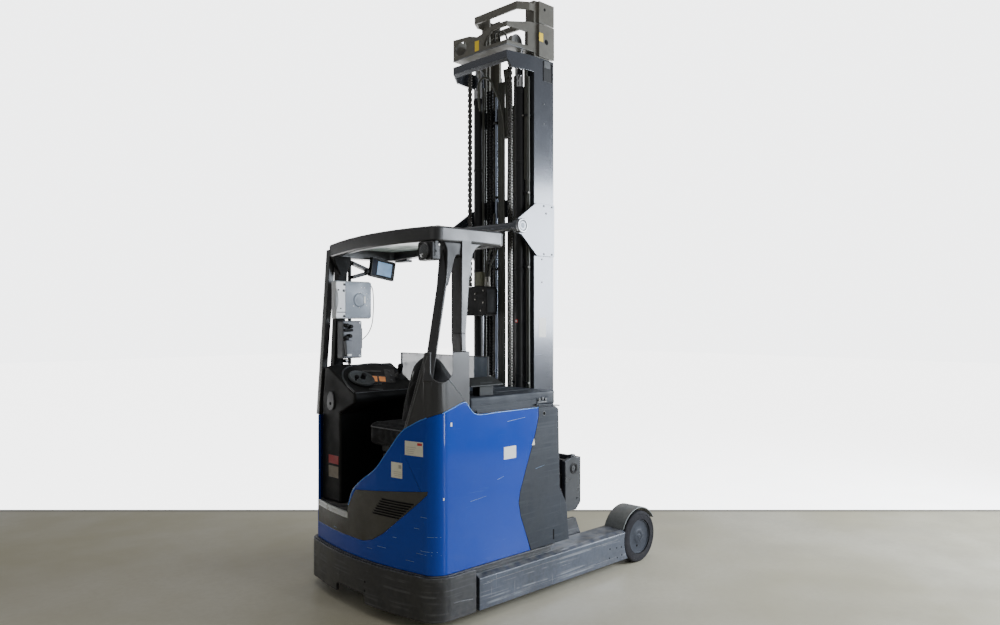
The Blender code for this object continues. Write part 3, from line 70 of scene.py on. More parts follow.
# The three directions of fine scratches: how far the noise is stretched, and its turn in degrees.
SCRATCH_RUNS = (((3.0, 3.0, 260.0), (12.0, 5.0, 0.0)), ((240.0, 4.0, 4.0), (0.0, 28.0, 14.0)),
                ((5.0, 5.0, 180.0), (-33.0, 24.0, 0.0)))


class Plane(Enum):
    """The plane that a flat outline is drawn in."""

    XY = "xy"
    XZ = "xz"
    YZ = "yz"


class Grain(Enum):
    """The fine relief of a surface."""

    NONE = "none"
    PEEL = "sprayed paint"
    MOULDED = "moulded plastic"
    CAST = "cast iron"
    BRUSHED = "brushed metal"
    WEAVE = "woven cloth"
    RUBBER = "worn rubber"


class Graph:
    """A material's nodes, wired as they are asked for."""

    def __init__(self, name: str) -> None:
        """Start a material.

        Args:
            name: the material's name.
        """
        self.material = bpy.data.materials.new(name)
        self.material.use_nodes = True
        self.tree = self.material.node_tree
        self.shader = self.tree.nodes["Principled BSDF"]
        coordinates = self.add("ShaderNodeTexCoord")
        self.place = coordinates.outputs["Object"]
        self.facing = coordinates.outputs["Normal"]

    def add(self, kind: str, inputs: Optional[dict] = None, **settings: object) -> bpy.types.Node:
        """Add a node.

        Args:
            kind: the node's type name.
            inputs: what goes into its sockets, as numbers or as other sockets.
            settings: the node's own properties.

        Returns:
            The node.
        """
        node = self.tree.nodes.new(kind)
        for key, value in settings.items():
            setattr(node, key, value)
        for key, value in (inputs or {}).items():
            if isinstance(value, bpy.types.NodeSocket):
                self.tree.links.new(value, node.inputs[key])
            else:
                node.inputs[key].default_value = value
        return node

    def stretched(self, scale: Point, turn: Point = (0.0, 0.0, 0.0)) -> bpy.types.NodeSocket:
        """Object coordinates, scaled along each axis and turned by angles in degrees."""
        angles = tuple(math.radians(angle) for angle in turn)
        return self.add("ShaderNodeMapping", {"Vector": self.place, "Scale": scale, "Rotation": angles}).outputs[0]

    def noise(self, scale: float, detail: float = 3.0,
              where: Optional[bpy.types.NodeSocket] = None) -> bpy.types.NodeSocket:
        """Noise from 0 to 1, by patches per metre and octaves of detail, on object coordinates or others."""
        inputs = {"Vector": where or self.place, "Scale": scale, "Detail": detail}
        return self.add("ShaderNodeTexNoise", inputs).outputs[0]

    def between(self, value: bpy.types.NodeSocket, low: float, high: float,
                to: Pair = (0.0, 1.0)) -> bpy.types.NodeSocket:
        """A value spread from one range to another, smoothly and clamped."""
        inputs = {"Value": value, "From Min": low, "From Max": high, "To Min": to[0], "To Max": to[1]}
        return self.add("ShaderNodeMapRange", inputs, interpolation_type="SMOOTHSTEP").outputs[0]

    def step(self, operation: str, first: object, second: object) -> bpy.types.NodeSocket:
        """One arithmetic step on two values."""
        return self.add("ShaderNodeMath", {0: first, 1: second}, operation=operation).outputs[0]

    def product(self, first: object, *others: object) -> bpy.types.NodeSocket:
        """Several values multiplied together."""
        for value in others:
            first = self.step("MULTIPLY", first, value)
        return first

    def mix(self, factor: object, first: object, second: object) -> bpy.types.NodeSocket:
        """Blend two colours.

        Args:
            factor: how much of the second, as a number or a socket.
            first: a colour or a socket.
            second: a colour or a socket.

        Returns:
            The blended colour.
        """
        node = self.add("ShaderNodeMix", data_type="RGBA")
        for index, value in ((0, factor), (6, first), (7, second)):
            if isinstance(value, bpy.types.NodeSocket):
                self.tree.links.new(value, node.inputs[index])
            else:
                node.inputs[index].default_value = value if index == 0 else (*value, 1.0)
        return node.outputs[2]

    def bump(self, height: bpy.types.NodeSocket, strength: float, depth: float) -> None:
        """Raise the surface by a height map, over what already raises it.

        Args:
            height: the height, from 0 to 1.
            strength: how strong, from 0 to 1.
            depth: the height of 1, in metres.
        """
        before = self.shader.inputs["Normal"].links
        inputs = {"Height": height, "Strength": strength, "Distance": depth}
        if before:
            inputs["Normal"] = before[0].from_socket
        made = self.add("ShaderNodeBump", inputs)
        self.tree.links.new(made.outputs[0], self.shader.inputs["Normal"])

    def feed(self, socket: str, value: object) -> None:
        """Set or link one of the shader's sockets."""
        if isinstance(value, bpy.types.NodeSocket):
            self.tree.links.new(value, self.shader.inputs[socket])
        else:
            self.shader.inputs[socket].default_value = value


@dataclass(frozen=True)
class Finish:
    """A surface of the truck: its colour, gloss, relief, dust and wear.

    Args:
        name: the finish's name.
        colour: its linear colour.
        roughness: how matt it is.
        metallic: 1 for bare metal.
        slot: the record's material slot that it belongs to; not used.
        coat: how thick its lacquer is, from 0 to 1.
        coat_roughness: how matt the lacquer is.
        specular: how strongly it reflects, 0.5 being usual.
        sheen: the soft edge light of cloth and rubber.
        cloud: how far its tone drifts over broad patches.
        grain: its fine relief.
        grain_scale: how fine the relief is, per metre.
        grain_depth: how deep the relief is, in metres.
        dust: how much dust lies on what faces up.
        splash: how much floor dirt is on its lowest parts.
        scratches: how many fine light scratches it has.
        scratch_colour: what shows in a scratch.
        streaks: how strong the long pale rub marks along the truck are.
        waves: how deep its broad unevenness is, in metres.
        uneven: how far its roughness drifts.
    """

    name: str
    colour: Colour
    roughness: float = 0.5
    metallic: float = 0.0
    slot: str = ""
    coat: float = 0.0
    coat_roughness: float = 0.12
    specular: float = 0.5
    sheen: float = 0.0
    cloud: float = 0.15
    grain: Grain = Grain.PEEL
    grain_scale: float = 260.0
    grain_depth: float = 0.0004
    dust: float = 0.0
    splash: float = 0.0
    scratches: float = 0.0
    scratch_colour: Colour = (0.30, 0.31, 0.33)
    streaks: float = 0.0
    waves: float = 0.0
    uneven: float = 0.08

    def tone(self, graph: Graph) -> bpy.types.NodeSocket:
        """The base colour with its broad drift, small blotches, dust, floor dirt and scratches."""
        darker = tuple(part * (1.0 - self.cloud) for part in self.colour)
        lighter = tuple(part * (1.0 + self.cloud) for part in self.colour)
        broad = graph.between(graph.noise(3.2, 4.0), 0.32, 0.68)
        fine = graph.between(graph.noise(46.0, 5.0), 0.35, 0.65)
        drift = graph.step("ADD", graph.step("MULTIPLY", broad, 0.65), graph.step("MULTIPLY", fine, 0.35))
        colour = graph.mix(drift, darker, lighter)
        if self.dust:
            up = graph.between(graph.add("ShaderNodeSeparateXYZ", {0: graph.facing}).outputs[2], 0.55, 0.98)
            patches = graph.between(graph.noise(16.0, 6.0), 0.30, 0.75)
            colour = graph.mix(graph.product(up, patches, self.dust), colour, DUST)
        if self.splash:
            height = graph.add("ShaderNodeSeparateXYZ", {0: graph.place}).outputs[2]
            low = graph.between(height, 0.02, 0.42, (1.0, 0.0))
            patches = graph.between(graph.noise(22.0, 7.0), 0.38, 0.72)
            colour = graph.mix(graph.product(low, patches, self.splash), colour, FLOOR_DIRT)
        if self.streaks:
            bands = graph.between(graph.noise(1.0, 4.0, graph.stretched((1.3, 1.3, 60.0))), 0.50, 0.66)
            broken = graph.between(graph.noise(9.0, 6.0), 0.40, 0.60)
            colour = graph.mix(graph.product(bands, broken, self.streaks), colour, self.scratch_colour)
        if self.scratches:
            colour = graph.mix(graph.product(self.scratch_lines(graph), self.scratches), colour, self.scratch_colour)
        return colour

    def scratch_lines(self, graph: Graph) -> bpy.types.NodeSocket:
        """Thin lines in three directions, thick in some patches and absent in others."""
        total: object = 0.0
        for scale, turn in SCRATCH_RUNS:
            line = graph.between(graph.noise(1.0, 2.0, graph.stretched(scale, turn)), 0.70, 0.76)
            total = graph.step("MAXIMUM", line, total)
        patches = graph.between(graph.noise(5.5, 2.0), 0.50, 0.66)
        return graph.step("MULTIPLY", total, patches)

    def relief(self, graph: Graph) -> None:
        """Bump the surface with its waves and its grain."""
        if self.waves:
            graph.bump(graph.noise(2.6, 1.0), 0.5, self.waves)
        if self.grain is Grain.PEEL:
            graph.bump(graph.noise(self.grain_scale, 2.0), 0.22, self.grain_depth)
        elif self.grain is Grain.MOULDED:
            cells = graph.add("ShaderNodeTexVoronoi", {"Vector": graph.place, "Scale": self.grain_scale},
                              feature="F1")
            graph.bump(cells.outputs["Distance"], 0.35, self.grain_depth)
            graph.bump(graph.noise(11.0, 2.0), 0.10, 0.002)
        elif self.grain is Grain.CAST:
            graph.bump(graph.noise(self.grain_scale, 6.0), 0.50, self.grain_depth)
            graph.bump(graph.noise(34.0, 3.0), 0.25, 0.001)
        elif self.grain is Grain.BRUSHED:
            where = graph.stretched((self.grain_scale, self.grain_scale, 4.0))
            graph.bump(graph.noise(1.0, 2.0, where), 0.20, self.grain_depth)
        elif self.grain is Grain.WEAVE:
            self.weave(graph)
        elif self.grain is Grain.RUBBER:
            graph.bump(graph.noise(self.grain_scale, 5.0), 0.40, self.grain_depth)

    def weave(self, graph: Graph) -> None:
        """Crossing threads on all three planes, thick and thin."""
        total: object = 0.0
        for turn in ((45.0, 0.0, 0.0), (0.0, 45.0, 0.0), (0.0, 0.0, 45.0)):
            inputs = {"Vector": graph.stretched((1.0, 1.0, 1.0), turn), "Scale": self.grain_scale, "Distortion": 0.4}
            threads = graph.add("ShaderNodeTexWave", inputs, wave_type="BANDS", bands_direction="DIAGONAL")
            total = graph.step("ADD", threads.outputs["Fac"], total)
        graph.bump(graph.step("MULTIPLY", total, 0.34), 0.45, self.grain_depth)

    def make(self) -> bpy.types.Material:
        """The material, made once and then kept by its name."""
        if self.name not in MADE:
            graph = Graph(self.name)
            self.wire(graph)
            MADE[self.name] = graph.material
        return MADE[self.name]

    def wire(self, graph: Graph) -> None:
        """Feed the shader with the finish's colour, gloss, lacquer and relief."""
        graph.feed("Base Color", self.tone(graph))
        low, high = max(0.02, self.roughness - self.uneven), min(1.0, self.roughness + self.uneven)
        graph.feed("Roughness", graph.between(graph.noise(9.0, 5.0), 0.30, 0.70, (low, high)))
        graph.feed("Metallic", self.metallic)
        graph.feed("Coat Weight", self.coat)
        graph.feed("Coat Roughness", self.coat_roughness)
        graph.feed("Specular IOR Level", self.specular)
        graph.feed("Sheen Weight", self.sheen)
        self.relief(graph)


@dataclass(frozen=True)
class ClearSheet(Finish):
    """A clear plastic or glass sheet with a faint tint, a few smears and dust.

    Args:
        body: how much of the sheet's own colour shows, from 0 for none to 1 for a solid sheet.
    """

    body: float = 0.25

    def wire(self, graph: Graph) -> None:
        """Feed the shader with the sheet's tint, its smears and how clear it is."""
        smears = graph.between(graph.noise(14.0, 6.0), 0.45, 0.80)
        graph.feed("Base Color", graph.mix(smears, self.colour, tuple(part * 0.85 for part in self.colour)))
        graph.feed("Roughness", graph.between(graph.noise(20.0, 5.0), 0.30, 0.70,
                                              (self.roughness, self.roughness + 0.12)))
        graph.feed("Alpha", graph.between(smears, 0.0, 1.0, (self.body, min(1.0, self.body + 0.10))))
        graph.feed("Specular IOR Level", self.specular)


@dataclass(frozen=True)
class GlowFinish(Finish):
    """A lit blank screen.

    Args:
        glow: how brightly it shines.
    """

    glow: float = 0.6

    def wire(self, graph: Graph) -> None:
        """Feed the shader with the screen's colour and its light."""
        tone = graph.mix(graph.between(graph.noise(18.0, 2.0), 0.35, 0.65), self.colour,
                         tuple(part * 0.8 for part in self.colour))
        graph.feed("Base Color", tone)
        graph.feed("Emission Color", tone)
        graph.feed("Emission Strength", self.glow)
        graph.feed("Roughness", graph.between(graph.noise(60.0, 3.0), 0.3, 0.7,
                                              (self.roughness, self.roughness + 0.1)))


def label(name: str, colour: Colour, roughness: float = 0.45, cloud: float = 0.08) -> Finish:
    """The finish of a blank printed label."""
    return Finish(name, colour, roughness, grain_scale=700.0, grain_depth=0.00008, cloud=cloud)


def moulded(name: str, colour: Colour, roughness: float, slot: str, scale: float, depth: float = 0.0002,
            **more: object) -> Finish:
    """The finish of a moulded plastic, with cells of a scale per metre and a depth in metres."""
    return Finish(name, colour, roughness, slot=slot, grain=Grain.MOULDED, grain_scale=scale, grain_depth=depth,
                  **more)


BLUE = Finish("blue_bodywork", (0.0004, 0.039, 0.330), 0.34, 0.0, "blue_paint", coat=0.5, coat_roughness=0.04,
              specular=0.15, cloud=0.04, grain_scale=420.0, grain_depth=0.0001, dust=0.03, scratches=0.22,
              scratch_colour=(0.10, 0.24, 0.50), waves=0.006, uneven=0.03)
GRAPHITE = Finish("graphite_enamel", (0.024, 0.025, 0.029), 0.40, 0.1, "graphite_paint", coat=0.2,
                  coat_roughness=0.25, cloud=0.30, dust=0.40, splash=0.10, scratches=0.7,
                  scratch_colour=(0.20, 0.205, 0.215), streaks=0.22)
FENDER = Finish("fender_paint", (0.130, 0.138, 0.138), 0.46, 0.1, "graphite_paint", cloud=0.25, dust=0.5, splash=0.3,
                scratches=0.4)
COVER = moulded("cover_plastic", (0.015, 0.020, 0.029), 0.58, "graphite_paint", 1100.0, 0.0003, specular=0.35,
                dust=0.03, scratches=0.25, scratch_colour=(0.12, 0.13, 0.15), streaks=0.12)
ARM = Finish("arm_enamel", (0.042, 0.052, 0.076), 0.36, 0.2, "arm_paint", coat=0.2, coat_roughness=0.25, cloud=0.35,
             dust=0.55, splash=0.08, scratches=1.0, scratch_colour=(0.32, 0.34, 0.38), streaks=0.5)
BLACK = Finish("black_enamel", (0.010, 0.010, 0.011), 0.46, 0.0, "black_paint", specular=0.35, dust=0.2,
               scratches=0.12)
GUARD = moulded("guard_plastic", (0.019, 0.019, 0.0195), 0.38, "black_paint", 1300.0, coat=0.35, coat_roughness=0.28,
                dust=0.25, scratches=0.10)
# Painted shade: a darker, matt copy of the guard's plastic for the arch under the roof's right corner.
GUARD_PAINTED_SHADE = moulded("guard_arch_painted_shade", (0.012, 0.012, 0.0125), 0.50, "black_paint", 1300.0, specular=0.4)
PLASTIC = moulded("moulded_black", (0.0060, 0.0060, 0.0062), 0.58, "black_plastic", 1500.0, 0.00025, specular=0.2,
                  dust=0.06)
MAST = Finish("mast_enamel", (0.024, 0.028, 0.037), 0.34, 0.25, "mast_paint", coat=0.5, coat_roughness=0.2, dust=0.10,
              scratches=0.22)
WEB = Finish("outer_mast_paint", (0.060, 0.065, 0.077), 0.24, 0.50, "mast_paint", coat=0.9, coat_roughness=0.13,
             cloud=0.04, dust=0.10, scratches=0.3, scratch_colour=(0.34, 0.36, 0.40), uneven=0.02)
HEAD = Finish("head_paint", (0.098, 0.093, 0.078), 0.48, 0.1, "mast_paint", dust=0.35, scratches=0.3)
VENT = moulded("vent_plastic", (0.048, 0.044, 0.034), 0.50, "black_plastic", 1300.0, 0.0003, dust=0.2, scratches=0.1)
TRAY = moulded("tray_plastic", (0.012, 0.014, 0.014), 0.52, "graphite_paint", 1300.0, 0.0003, specular=0.3, dust=0.05)
CHAIN = Finish("oiled_chain", (0.060, 0.056, 0.050), 0.38, 0.85, "dark_steel", grain=Grain.CAST, grain_scale=500.0,
               grain_depth=0.0002)
RUBBER = Finish("dark_rubber", (0.016, 0.016, 0.017), 0.80, 0.0, "tyre", sheen=0.1, grain=Grain.RUBBER,
                grain_scale=320.0, grain_depth=0.0006, dust=0.45, splash=0.5)
TREAD = Finish("load_tyre_rubber", (0.019, 0.0185, 0.022), 0.82, 0.0, "wheel_tread", specular=0.15,
               grain=Grain.RUBBER, grain_scale=260.0, grain_depth=0.0005, cloud=0.3, splash=0.06)
WHEEL = Finish("wheel_iron", (0.026, 0.030, 0.040), 0.55, 0.1, "wheel_grey", specular=0.3, grain=Grain.CAST,
               grain_scale=300.0, grain_depth=0.0003, cloud=0.35)
CHROME = Finish("polished_rod", (0.60, 0.60, 0.61), 0.10, 1.0, "chrome", grain=Grain.BRUSHED, grain_scale=300.0,
                grain_depth=0.00005, cloud=0.05)
STEEL = Finish("bare_steel", (0.36, 0.36, 0.35), 0.36, 0.9, "", grain=Grain.BRUSHED, grain_scale=400.0,
               grain_depth=0.0001)
ZINC = Finish("zinc_bolt", (0.42, 0.41, 0.38), 0.34, 0.9, "", grain=Grain.CAST, grain_scale=700.0, grain_depth=0.0001)
ALUMINIUM = Finish("ribbed_aluminium", (0.66, 0.67, 0.68), 0.34, 0.9, "aluminium", grain=Grain.BRUSHED,
                   grain_scale=240.0, grain_depth=0.0001, cloud=0.08)
LIGHT_GREY = moulded("light_grey_plastic", (0.50, 0.52, 0.55), 0.46, "light_plastic", 1400.0, cloud=0.06)
BLUE_GREY = Finish("terminal_back", (0.16, 0.185, 0.22), 0.42, 0.1, "light_plastic", grain=Grain.CAST,
                   grain_scale=600.0, grain_depth=0.0002, cloud=0.08)
CLOTH = Finish("seat_cloth", (0.006, 0.006, 0.0065), 0.85, 0.0, "fabric", sheen=0.05, specular=0.3, grain=Grain.WEAVE,
               grain_scale=330.0, grain_depth=0.0007, cloud=0.22, dust=0.03)
MAT = Finish("floor_mat", (0.014, 0.014, 0.015), 0.85, 0.0, "black_plastic", grain=Grain.RUBBER, grain_scale=200.0,
             grain_depth=0.0008, dust=0.4)
LABEL_WHITE = label("blank_label", (0.78, 0.77, 0.72), 0.45, 0.05)
LABEL_CREAM = label("cream_label", (0.70, 0.66, 0.52), 0.45, 0.06)
LABEL_YELLOW = label("yellow_tag", (0.75, 0.52, 0.02), 0.42, 0.08)
LABEL_RED = label("red_tag", (0.55, 0.03, 0.03), 0.42, 0.08)
ORANGE = GlowFinish("orange_display", (0.80, 0.28, 0.08), 0.30, glow=0.25)
SCREEN = GlowFinish("pale_screen", (0.16, 0.30, 0.50), 0.40, specular=0.2, glow=0.45)
ROOF_CLEAR = ClearSheet("roof_sheet", (0.74, 0.84, 0.79), 0.12, 0.0, "clear_sheet", body=0.80)
SCREEN_CLEAR = ClearSheet("rear_sheet", (0.22, 0.27, 0.34), 0.06, 0.0, "clear_sheet", body=0.68)
LENS = ClearSheet("lamp_lens", (0.10, 0.105, 0.11), 0.05, 0.0, "clear_sheet", body=0.75)

RUB = Finish("pale_rub", (0.16, 0.27, 0.46), 0.45, 0.0, "blue_paint", grain=Grain.CAST, grain_scale=900.0,
             grain_depth=0.0001, cloud=0.5)
DARK_GLASS = Finish("dark_glass", (0.020, 0.021, 0.023), 0.10, 0.3, "black_plastic", grain=Grain.NONE)
# Painted shade: a near-black finish for the sheets and discs that stand for the shade inside slots, holes and screw
# recesses.
OPENING_SHADE = Finish("painted_shade_opening", (0.004, 0.004, 0.004), 0.85, specular=0.15, grain=Grain.RUBBER, grain_scale=400.0,
              grain_depth=0.0002)
# Painted highlight: a lighter, glossier copy of the blue paint that paints the light along the shell's beads.
BLUE_LIP_HIGHLIGHT = Finish("blue_lip_highlight", (0.030, 0.180, 0.600), 0.24, 0.0, "blue_paint", coat=0.6, cloud=0.05,
                  grain_depth=0.0001)
GREY_EDGE = Finish("worn_grey_edge", (0.085, 0.088, 0.092), 0.42, 0.2, "", grain=Grain.CAST, grain_scale=500.0,
                   grain_depth=0.0002)
GREY_EDGE_SOFT = moulded("dash_edge", (0.045, 0.047, 0.050), 0.45, "black_plastic", 1500.0)
# Painted highlight: a lighter grey for the lines along the bumper's side and the wheel arms' edges, where light
# catches them.
EDGE_HIGHLIGHT = Finish("painted_edge_highlight", (0.16, 0.165, 0.175), 0.5, 0.3, "", grain=Grain.CAST, grain_scale=700.0,
               grain_depth=0.0002, cloud=0.35)
HOSE = Finish("rubber_hose", (0.045, 0.046, 0.036), 0.50, 0.0, "black_plastic", sheen=0.1, grain=Grain.RUBBER,
              grain_scale=500.0, grain_depth=0.0002, dust=0.2)
RUBBER_TRIM = Finish("rubber_trim", (0.012, 0.012, 0.013), 0.75, 0.0, "black_plastic", sheen=0.1, grain=Grain.RUBBER,
                     grain_scale=420.0, grain_depth=0.0003, dust=0.35)
RING = Finish("bright_ring", (0.24, 0.245, 0.25), 0.34, 0.9, "", grain=Grain.BRUSHED, grain_scale=300.0,
              grain_depth=0.00008)
PIN = Finish("worn_pin", (0.38, 0.37, 0.34), 0.34, 0.9, "dark_steel", grain=Grain.CAST, grain_scale=800.0,
             grain_depth=0.0001)
OLIVE = Finish("olive_paint", (0.12, 0.12, 0.075), 0.5, 0.2, "", grain=Grain.CAST, grain_scale=400.0,
               grain_depth=0.0002)
PIPE = Finish("pale_pipe", (0.30, 0.34, 0.42), 0.30, 0.8, "", grain=Grain.BRUSHED, grain_scale=300.0,
              grain_depth=0.00008)
DISH = moulded("steering_dish", (0.055, 0.060, 0.062), 0.48, "black_plastic", 1500.0)
CABLE = Finish("grey_cable", (0.020, 0.021, 0.023), 0.5, 0.0, "black_plastic", grain=Grain.RUBBER, grain_scale=800.0,
               grain_depth=0.0001)
PALE = moulded("pale_plastic", (0.93, 0.94, 0.97), 0.42, "light_plastic", 1600.0, 0.0001, cloud=0.03)
HOLDER_GREY = moulded("holder_plastic", (0.13, 0.137, 0.155), 0.46, "light_plastic", 1400.0)
PIPING = Finish("cloth_piping", (0.060, 0.062, 0.066), 0.7, 0.0, "fabric", sheen=0.3, grain=Grain.WEAVE,
                grain_scale=900.0, grain_depth=0.0002)
NIGHT_BLUE = moulded("monitor_panel", (0.008, 0.012, 0.026), 0.60, "black_plastic", 1800.0, 0.0001, specular=0.2)
LABEL_BEIGE = label("beige_label", (0.14, 0.115, 0.080), 0.5, 0.3)
LABEL_DARK_RED = label("dark_red_tag", (0.26, 0.012, 0.012), 0.5, 0.2)
LABEL_GREY = label("grey_label", (0.42, 0.38, 0.31), 0.5, 0.15)


class Form:
    """One piece in the making: a bmesh, and the few steps that this truck's pieces are made with."""

    def __init__(self) -> None:
        """Start an empty form."""
        self.shape = bmesh.new()

    def _settle(self, verts: list, edge: float, segments: int, turn: Optional[Matrix] = None) -> "Form":
        """Round the hard edges of what was just made, and turn it.

        Args:
            verts: its vertices.
            edge: the rounding's width, 0 for none.
            segments: the rounding's steps.
            turn: a transform for the whole of it.

        Returns:
            The form.
        """
        if turn is not None:
            bmesh.ops.transform(self.shape, matrix=turn, verts=verts)
        if edge > 0:
            edges = {e for v in verts for e in v.link_edges}
            hard = [e for e in edges if len(e.link_faces) == 2 and e.calc_face_angle(0.0) > math.radians(28)]
            bmesh.ops.bevel(self.shape, geom=hard, offset=edge, offset_type="OFFSET", segments=segments, profile=0.5,
                            affect="EDGES", clamp_overlap=True, material=-1)
        return self

    def box(self, x: Pair, y: Pair, z: Pair, edge: float = 0.0015, segments: int = 2,
            turn: Optional[Matrix] = None) -> "Form":
        """Add a box between three (low, high) pairs, with round edges."""
        made = bmesh.ops.create_cube(self.shape, size=1.0)["verts"]
        size = Matrix.Diagonal((abs(x[1] - x[0]), abs(y[1] - y[0]), abs(z[1] - z[0]), 1.0))
        middle = Matrix.Translation((sum(x) / 2, sum(y) / 2, sum(z) / 2))
        bmesh.ops.transform(self.shape, matrix=middle @ size, verts=made)
        return self._settle(made, edge, segments, turn)

    def rod(self, start: Point, end: Point, radius: float, sides: int = 32, far: Optional[float] = None,
            edge: float = 0.0, segments: int = 2) -> "Form":
        """Add a cylinder or cone between two points.

        Args:
            start: the middle of its first end.
            end: the middle of its other end.
            radius: its radius.
            sides: its number of sides.
            far: its radius at the other end.
            edge: the width of its end edges' rounding.
            segments: the steps of that rounding.

        Returns:
            The form.
        """
        first, last = Vector(start), Vector(end)
        along = last - first
        made = bmesh.ops.create_cone(self.shape, cap_ends=True, segments=sides, radius1=radius,
                                     radius2=radius if far is None else far, depth=along.length)["verts"]
        turn = along.to_track_quat("Z", "Y").to_matrix().to_4x4()
        bmesh.ops.transform(self.shape, matrix=Matrix.Translation((first + last) / 2) @ turn, verts=made)
        return self._settle(made, edge, segments)

    def plate(self, outline: Sequence[Pair], low: float, high: float, plane: Plane, edge: float = 0.0015,
              segments: int = 2, turn: Optional[Matrix] = None) -> "Form":
        """Add a flat outline made thick.

        Args:
            outline: its corners, in its plane.
            low: where its thickness starts, across the plane.
            high: where its thickness ends.
            plane: the outline's plane.
            edge: the width of its edges' rounding.
            segments: the steps of that rounding.
            turn: a transform for the whole of it.

        Returns:
            The form.
        """
        spots = {Plane.XY: lambda a, b, c: (a, b, c), Plane.XZ: lambda a, b, c: (a, c, b), Plane.YZ: lambda a, b,
                 c: (c, a, b)}[plane]
        across = Vector(spots(0.0, 0.0, high - low))
        verts = [self.shape.verts.new(spots(first, second, low)) for first, second in outline]
        face = self.shape.faces.new(verts)
        grown = bmesh.ops.extrude_face_region(self.shape, geom=[face], use_keep_orig=True)["geom"]
        moved = [item for item in grown if isinstance(item, bmesh.types.BMVert)]
        bmesh.ops.translate(self.shape, vec=across, verts=moved)
        made = verts + moved
        bmesh.ops.recalc_face_normals(self.shape, faces=list({f for v in made for f in v.link_faces}))
        return self._settle(made, edge, segments, turn)

    def lathe(self, profile: Sequence[Pair], middle: Point, axis: Point = (0.0, 1.0, 0.0), steps: int = 72) -> "Form":
        """Add a turned shape.

        Args:
            profile: its (radius, distance along the axis) points, from one end round to the other.
            middle: where the distance is 0.
            axis: the axis it is turned about.
            steps: the turn's steps.

        Returns:
            The form.
        """
        before = set(self.shape.verts)
        verts = [self.shape.verts.new((radius, 0.0, along)) for radius, along in profile]
        edges = [self.shape.edges.new(pair) for pair in zip(verts, verts[1:])]
        bmesh.ops.spin(self.shape, geom=verts + edges, cent=(0, 0, 0), axis=(0, 0, 1), angle=math.tau, steps=steps,
                       use_merge=True)
        bmesh.ops.remove_doubles(self.shape, verts=[v for v in self.shape.verts if v not in before], dist=0.00001)
        made = [v for v in self.shape.verts if v not in before]
        bmesh.ops.recalc_face_normals(self.shape, faces=list({f for v in made for f in v.link_faces}))
        turn = Vector(axis).to_track_quat("Z", "Y").to_matrix().to_4x4()
        bmesh.ops.transform(self.shape, matrix=Matrix.Translation(middle) @ turn, verts=made)
        return self

    def hose(self, points: Sequence[Point], radius: float, sides: int = 5, smooth: bool = True) -> "Form":
        """Add a round hose or bar through some points.

        Args:
            points: the points along its middle.
            radius: its radius.
            sides: half the number of its sides, less one.
            smooth: True for a smooth curve and False for straight runs.

        Returns:
            The form.
        """
        curve = bpy.data.curves.new("hose", "CURVE")
        curve.dimensions = "3D"
        curve.bevel_depth = radius
        curve.bevel_resolution = sides
        curve.use_fill_caps = True
        if smooth:
            line = curve.splines.new("BEZIER")
            line.bezier_points.add(len(points) - 1)
            for spot, point in zip(line.bezier_points, points):
                spot.co = point
                spot.handle_left_type = spot.handle_right_type = "AUTO"
            line.resolution_u = 10
        else:
            line = curve.splines.new("POLY")
            line.points.add(len(points) - 1)
            for spot, point in zip(line.points, points):
                spot.co = (*point, 1.0)
        bent = bpy.data.objects.new("hose", curve)
        bpy.context.scene.collection.objects.link(bent)
        graph = bpy.context.evaluated_depsgraph_get()
        mesh = bpy.data.meshes.new_from_object(bent.evaluated_get(graph))
        bpy.data.objects.remove(bent)
        self.shape.from_mesh(mesh)
        bpy.data.meshes.remove(mesh)
        return self

    def bolt(self, spot: Point, facing: Point, radius: float = 0.008, height: float = 0.005) -> "Form":
        """Add a washer with a hexagon head on a surface."""
        out = Vector(facing).normalized()
        base = Vector(spot)
        self.rod(tuple(base), tuple(base + out * height * 0.3), radius * 1.35, 20)
        return self.rod(tuple(base + out * height * 0.25), tuple(base + out * height), radius, 6, edge=0.0006)

    def piece(self, name: str, finish: Finish, body: str = "truck", sharp: float = 35.0) -> bpy.types.Object:
        """Finish the form as a piece that rides on a body.

        Args:
            name: the piece's name.
            finish: its finish.
            body: the body it moves with.
            sharp: faces that meet at more than this angle, in degrees, keep a hard edge.

        Returns:
            The piece.
        """
        bmesh.ops.translate(self.shape, vec=ORIGIN, verts=self.shape.verts)
        mesh = bpy.data.meshes.new(name)
        self.shape.to_mesh(mesh)
        self.shape.free()
        return dressed(mesh, name, finish, body, sharp)


def dressed(mesh: bpy.types.Mesh, name: str, finish: Finish, body: str, sharp: float = 35.0) -> bpy.types.Object:
    """Shade a mesh, give it its finish and put it on its body.

    Args:
        mesh: the mesh, in the shared frame.
        name: the piece's name.
        finish: its finish.
        body: the body it moves with.
        sharp: faces that meet at more than this angle, in degrees, keep a hard edge.

    Returns:
        The piece.
    """
    mesh.materials.clear()
    mesh.materials.append(finish.make())
    mesh.shade_smooth()
    mesh.set_sharp_from_angle(angle=math.radians(sharp))
    made = bpy.data.objects.new(name, mesh)
    bpy.context.scene.collection.objects.link(made)
    weigh = made.modifiers.new("even_shading", "WEIGHTED_NORMAL")
    weigh.keep_sharp = True
    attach(made, body)
    LOG.info("%s on %s: %d faces", name, body, len(mesh.polygons))
    return made


BODY_OF = {node: body for body, nodes in frame["record"]["behaviour"]["bodies"].items() for node in nodes}


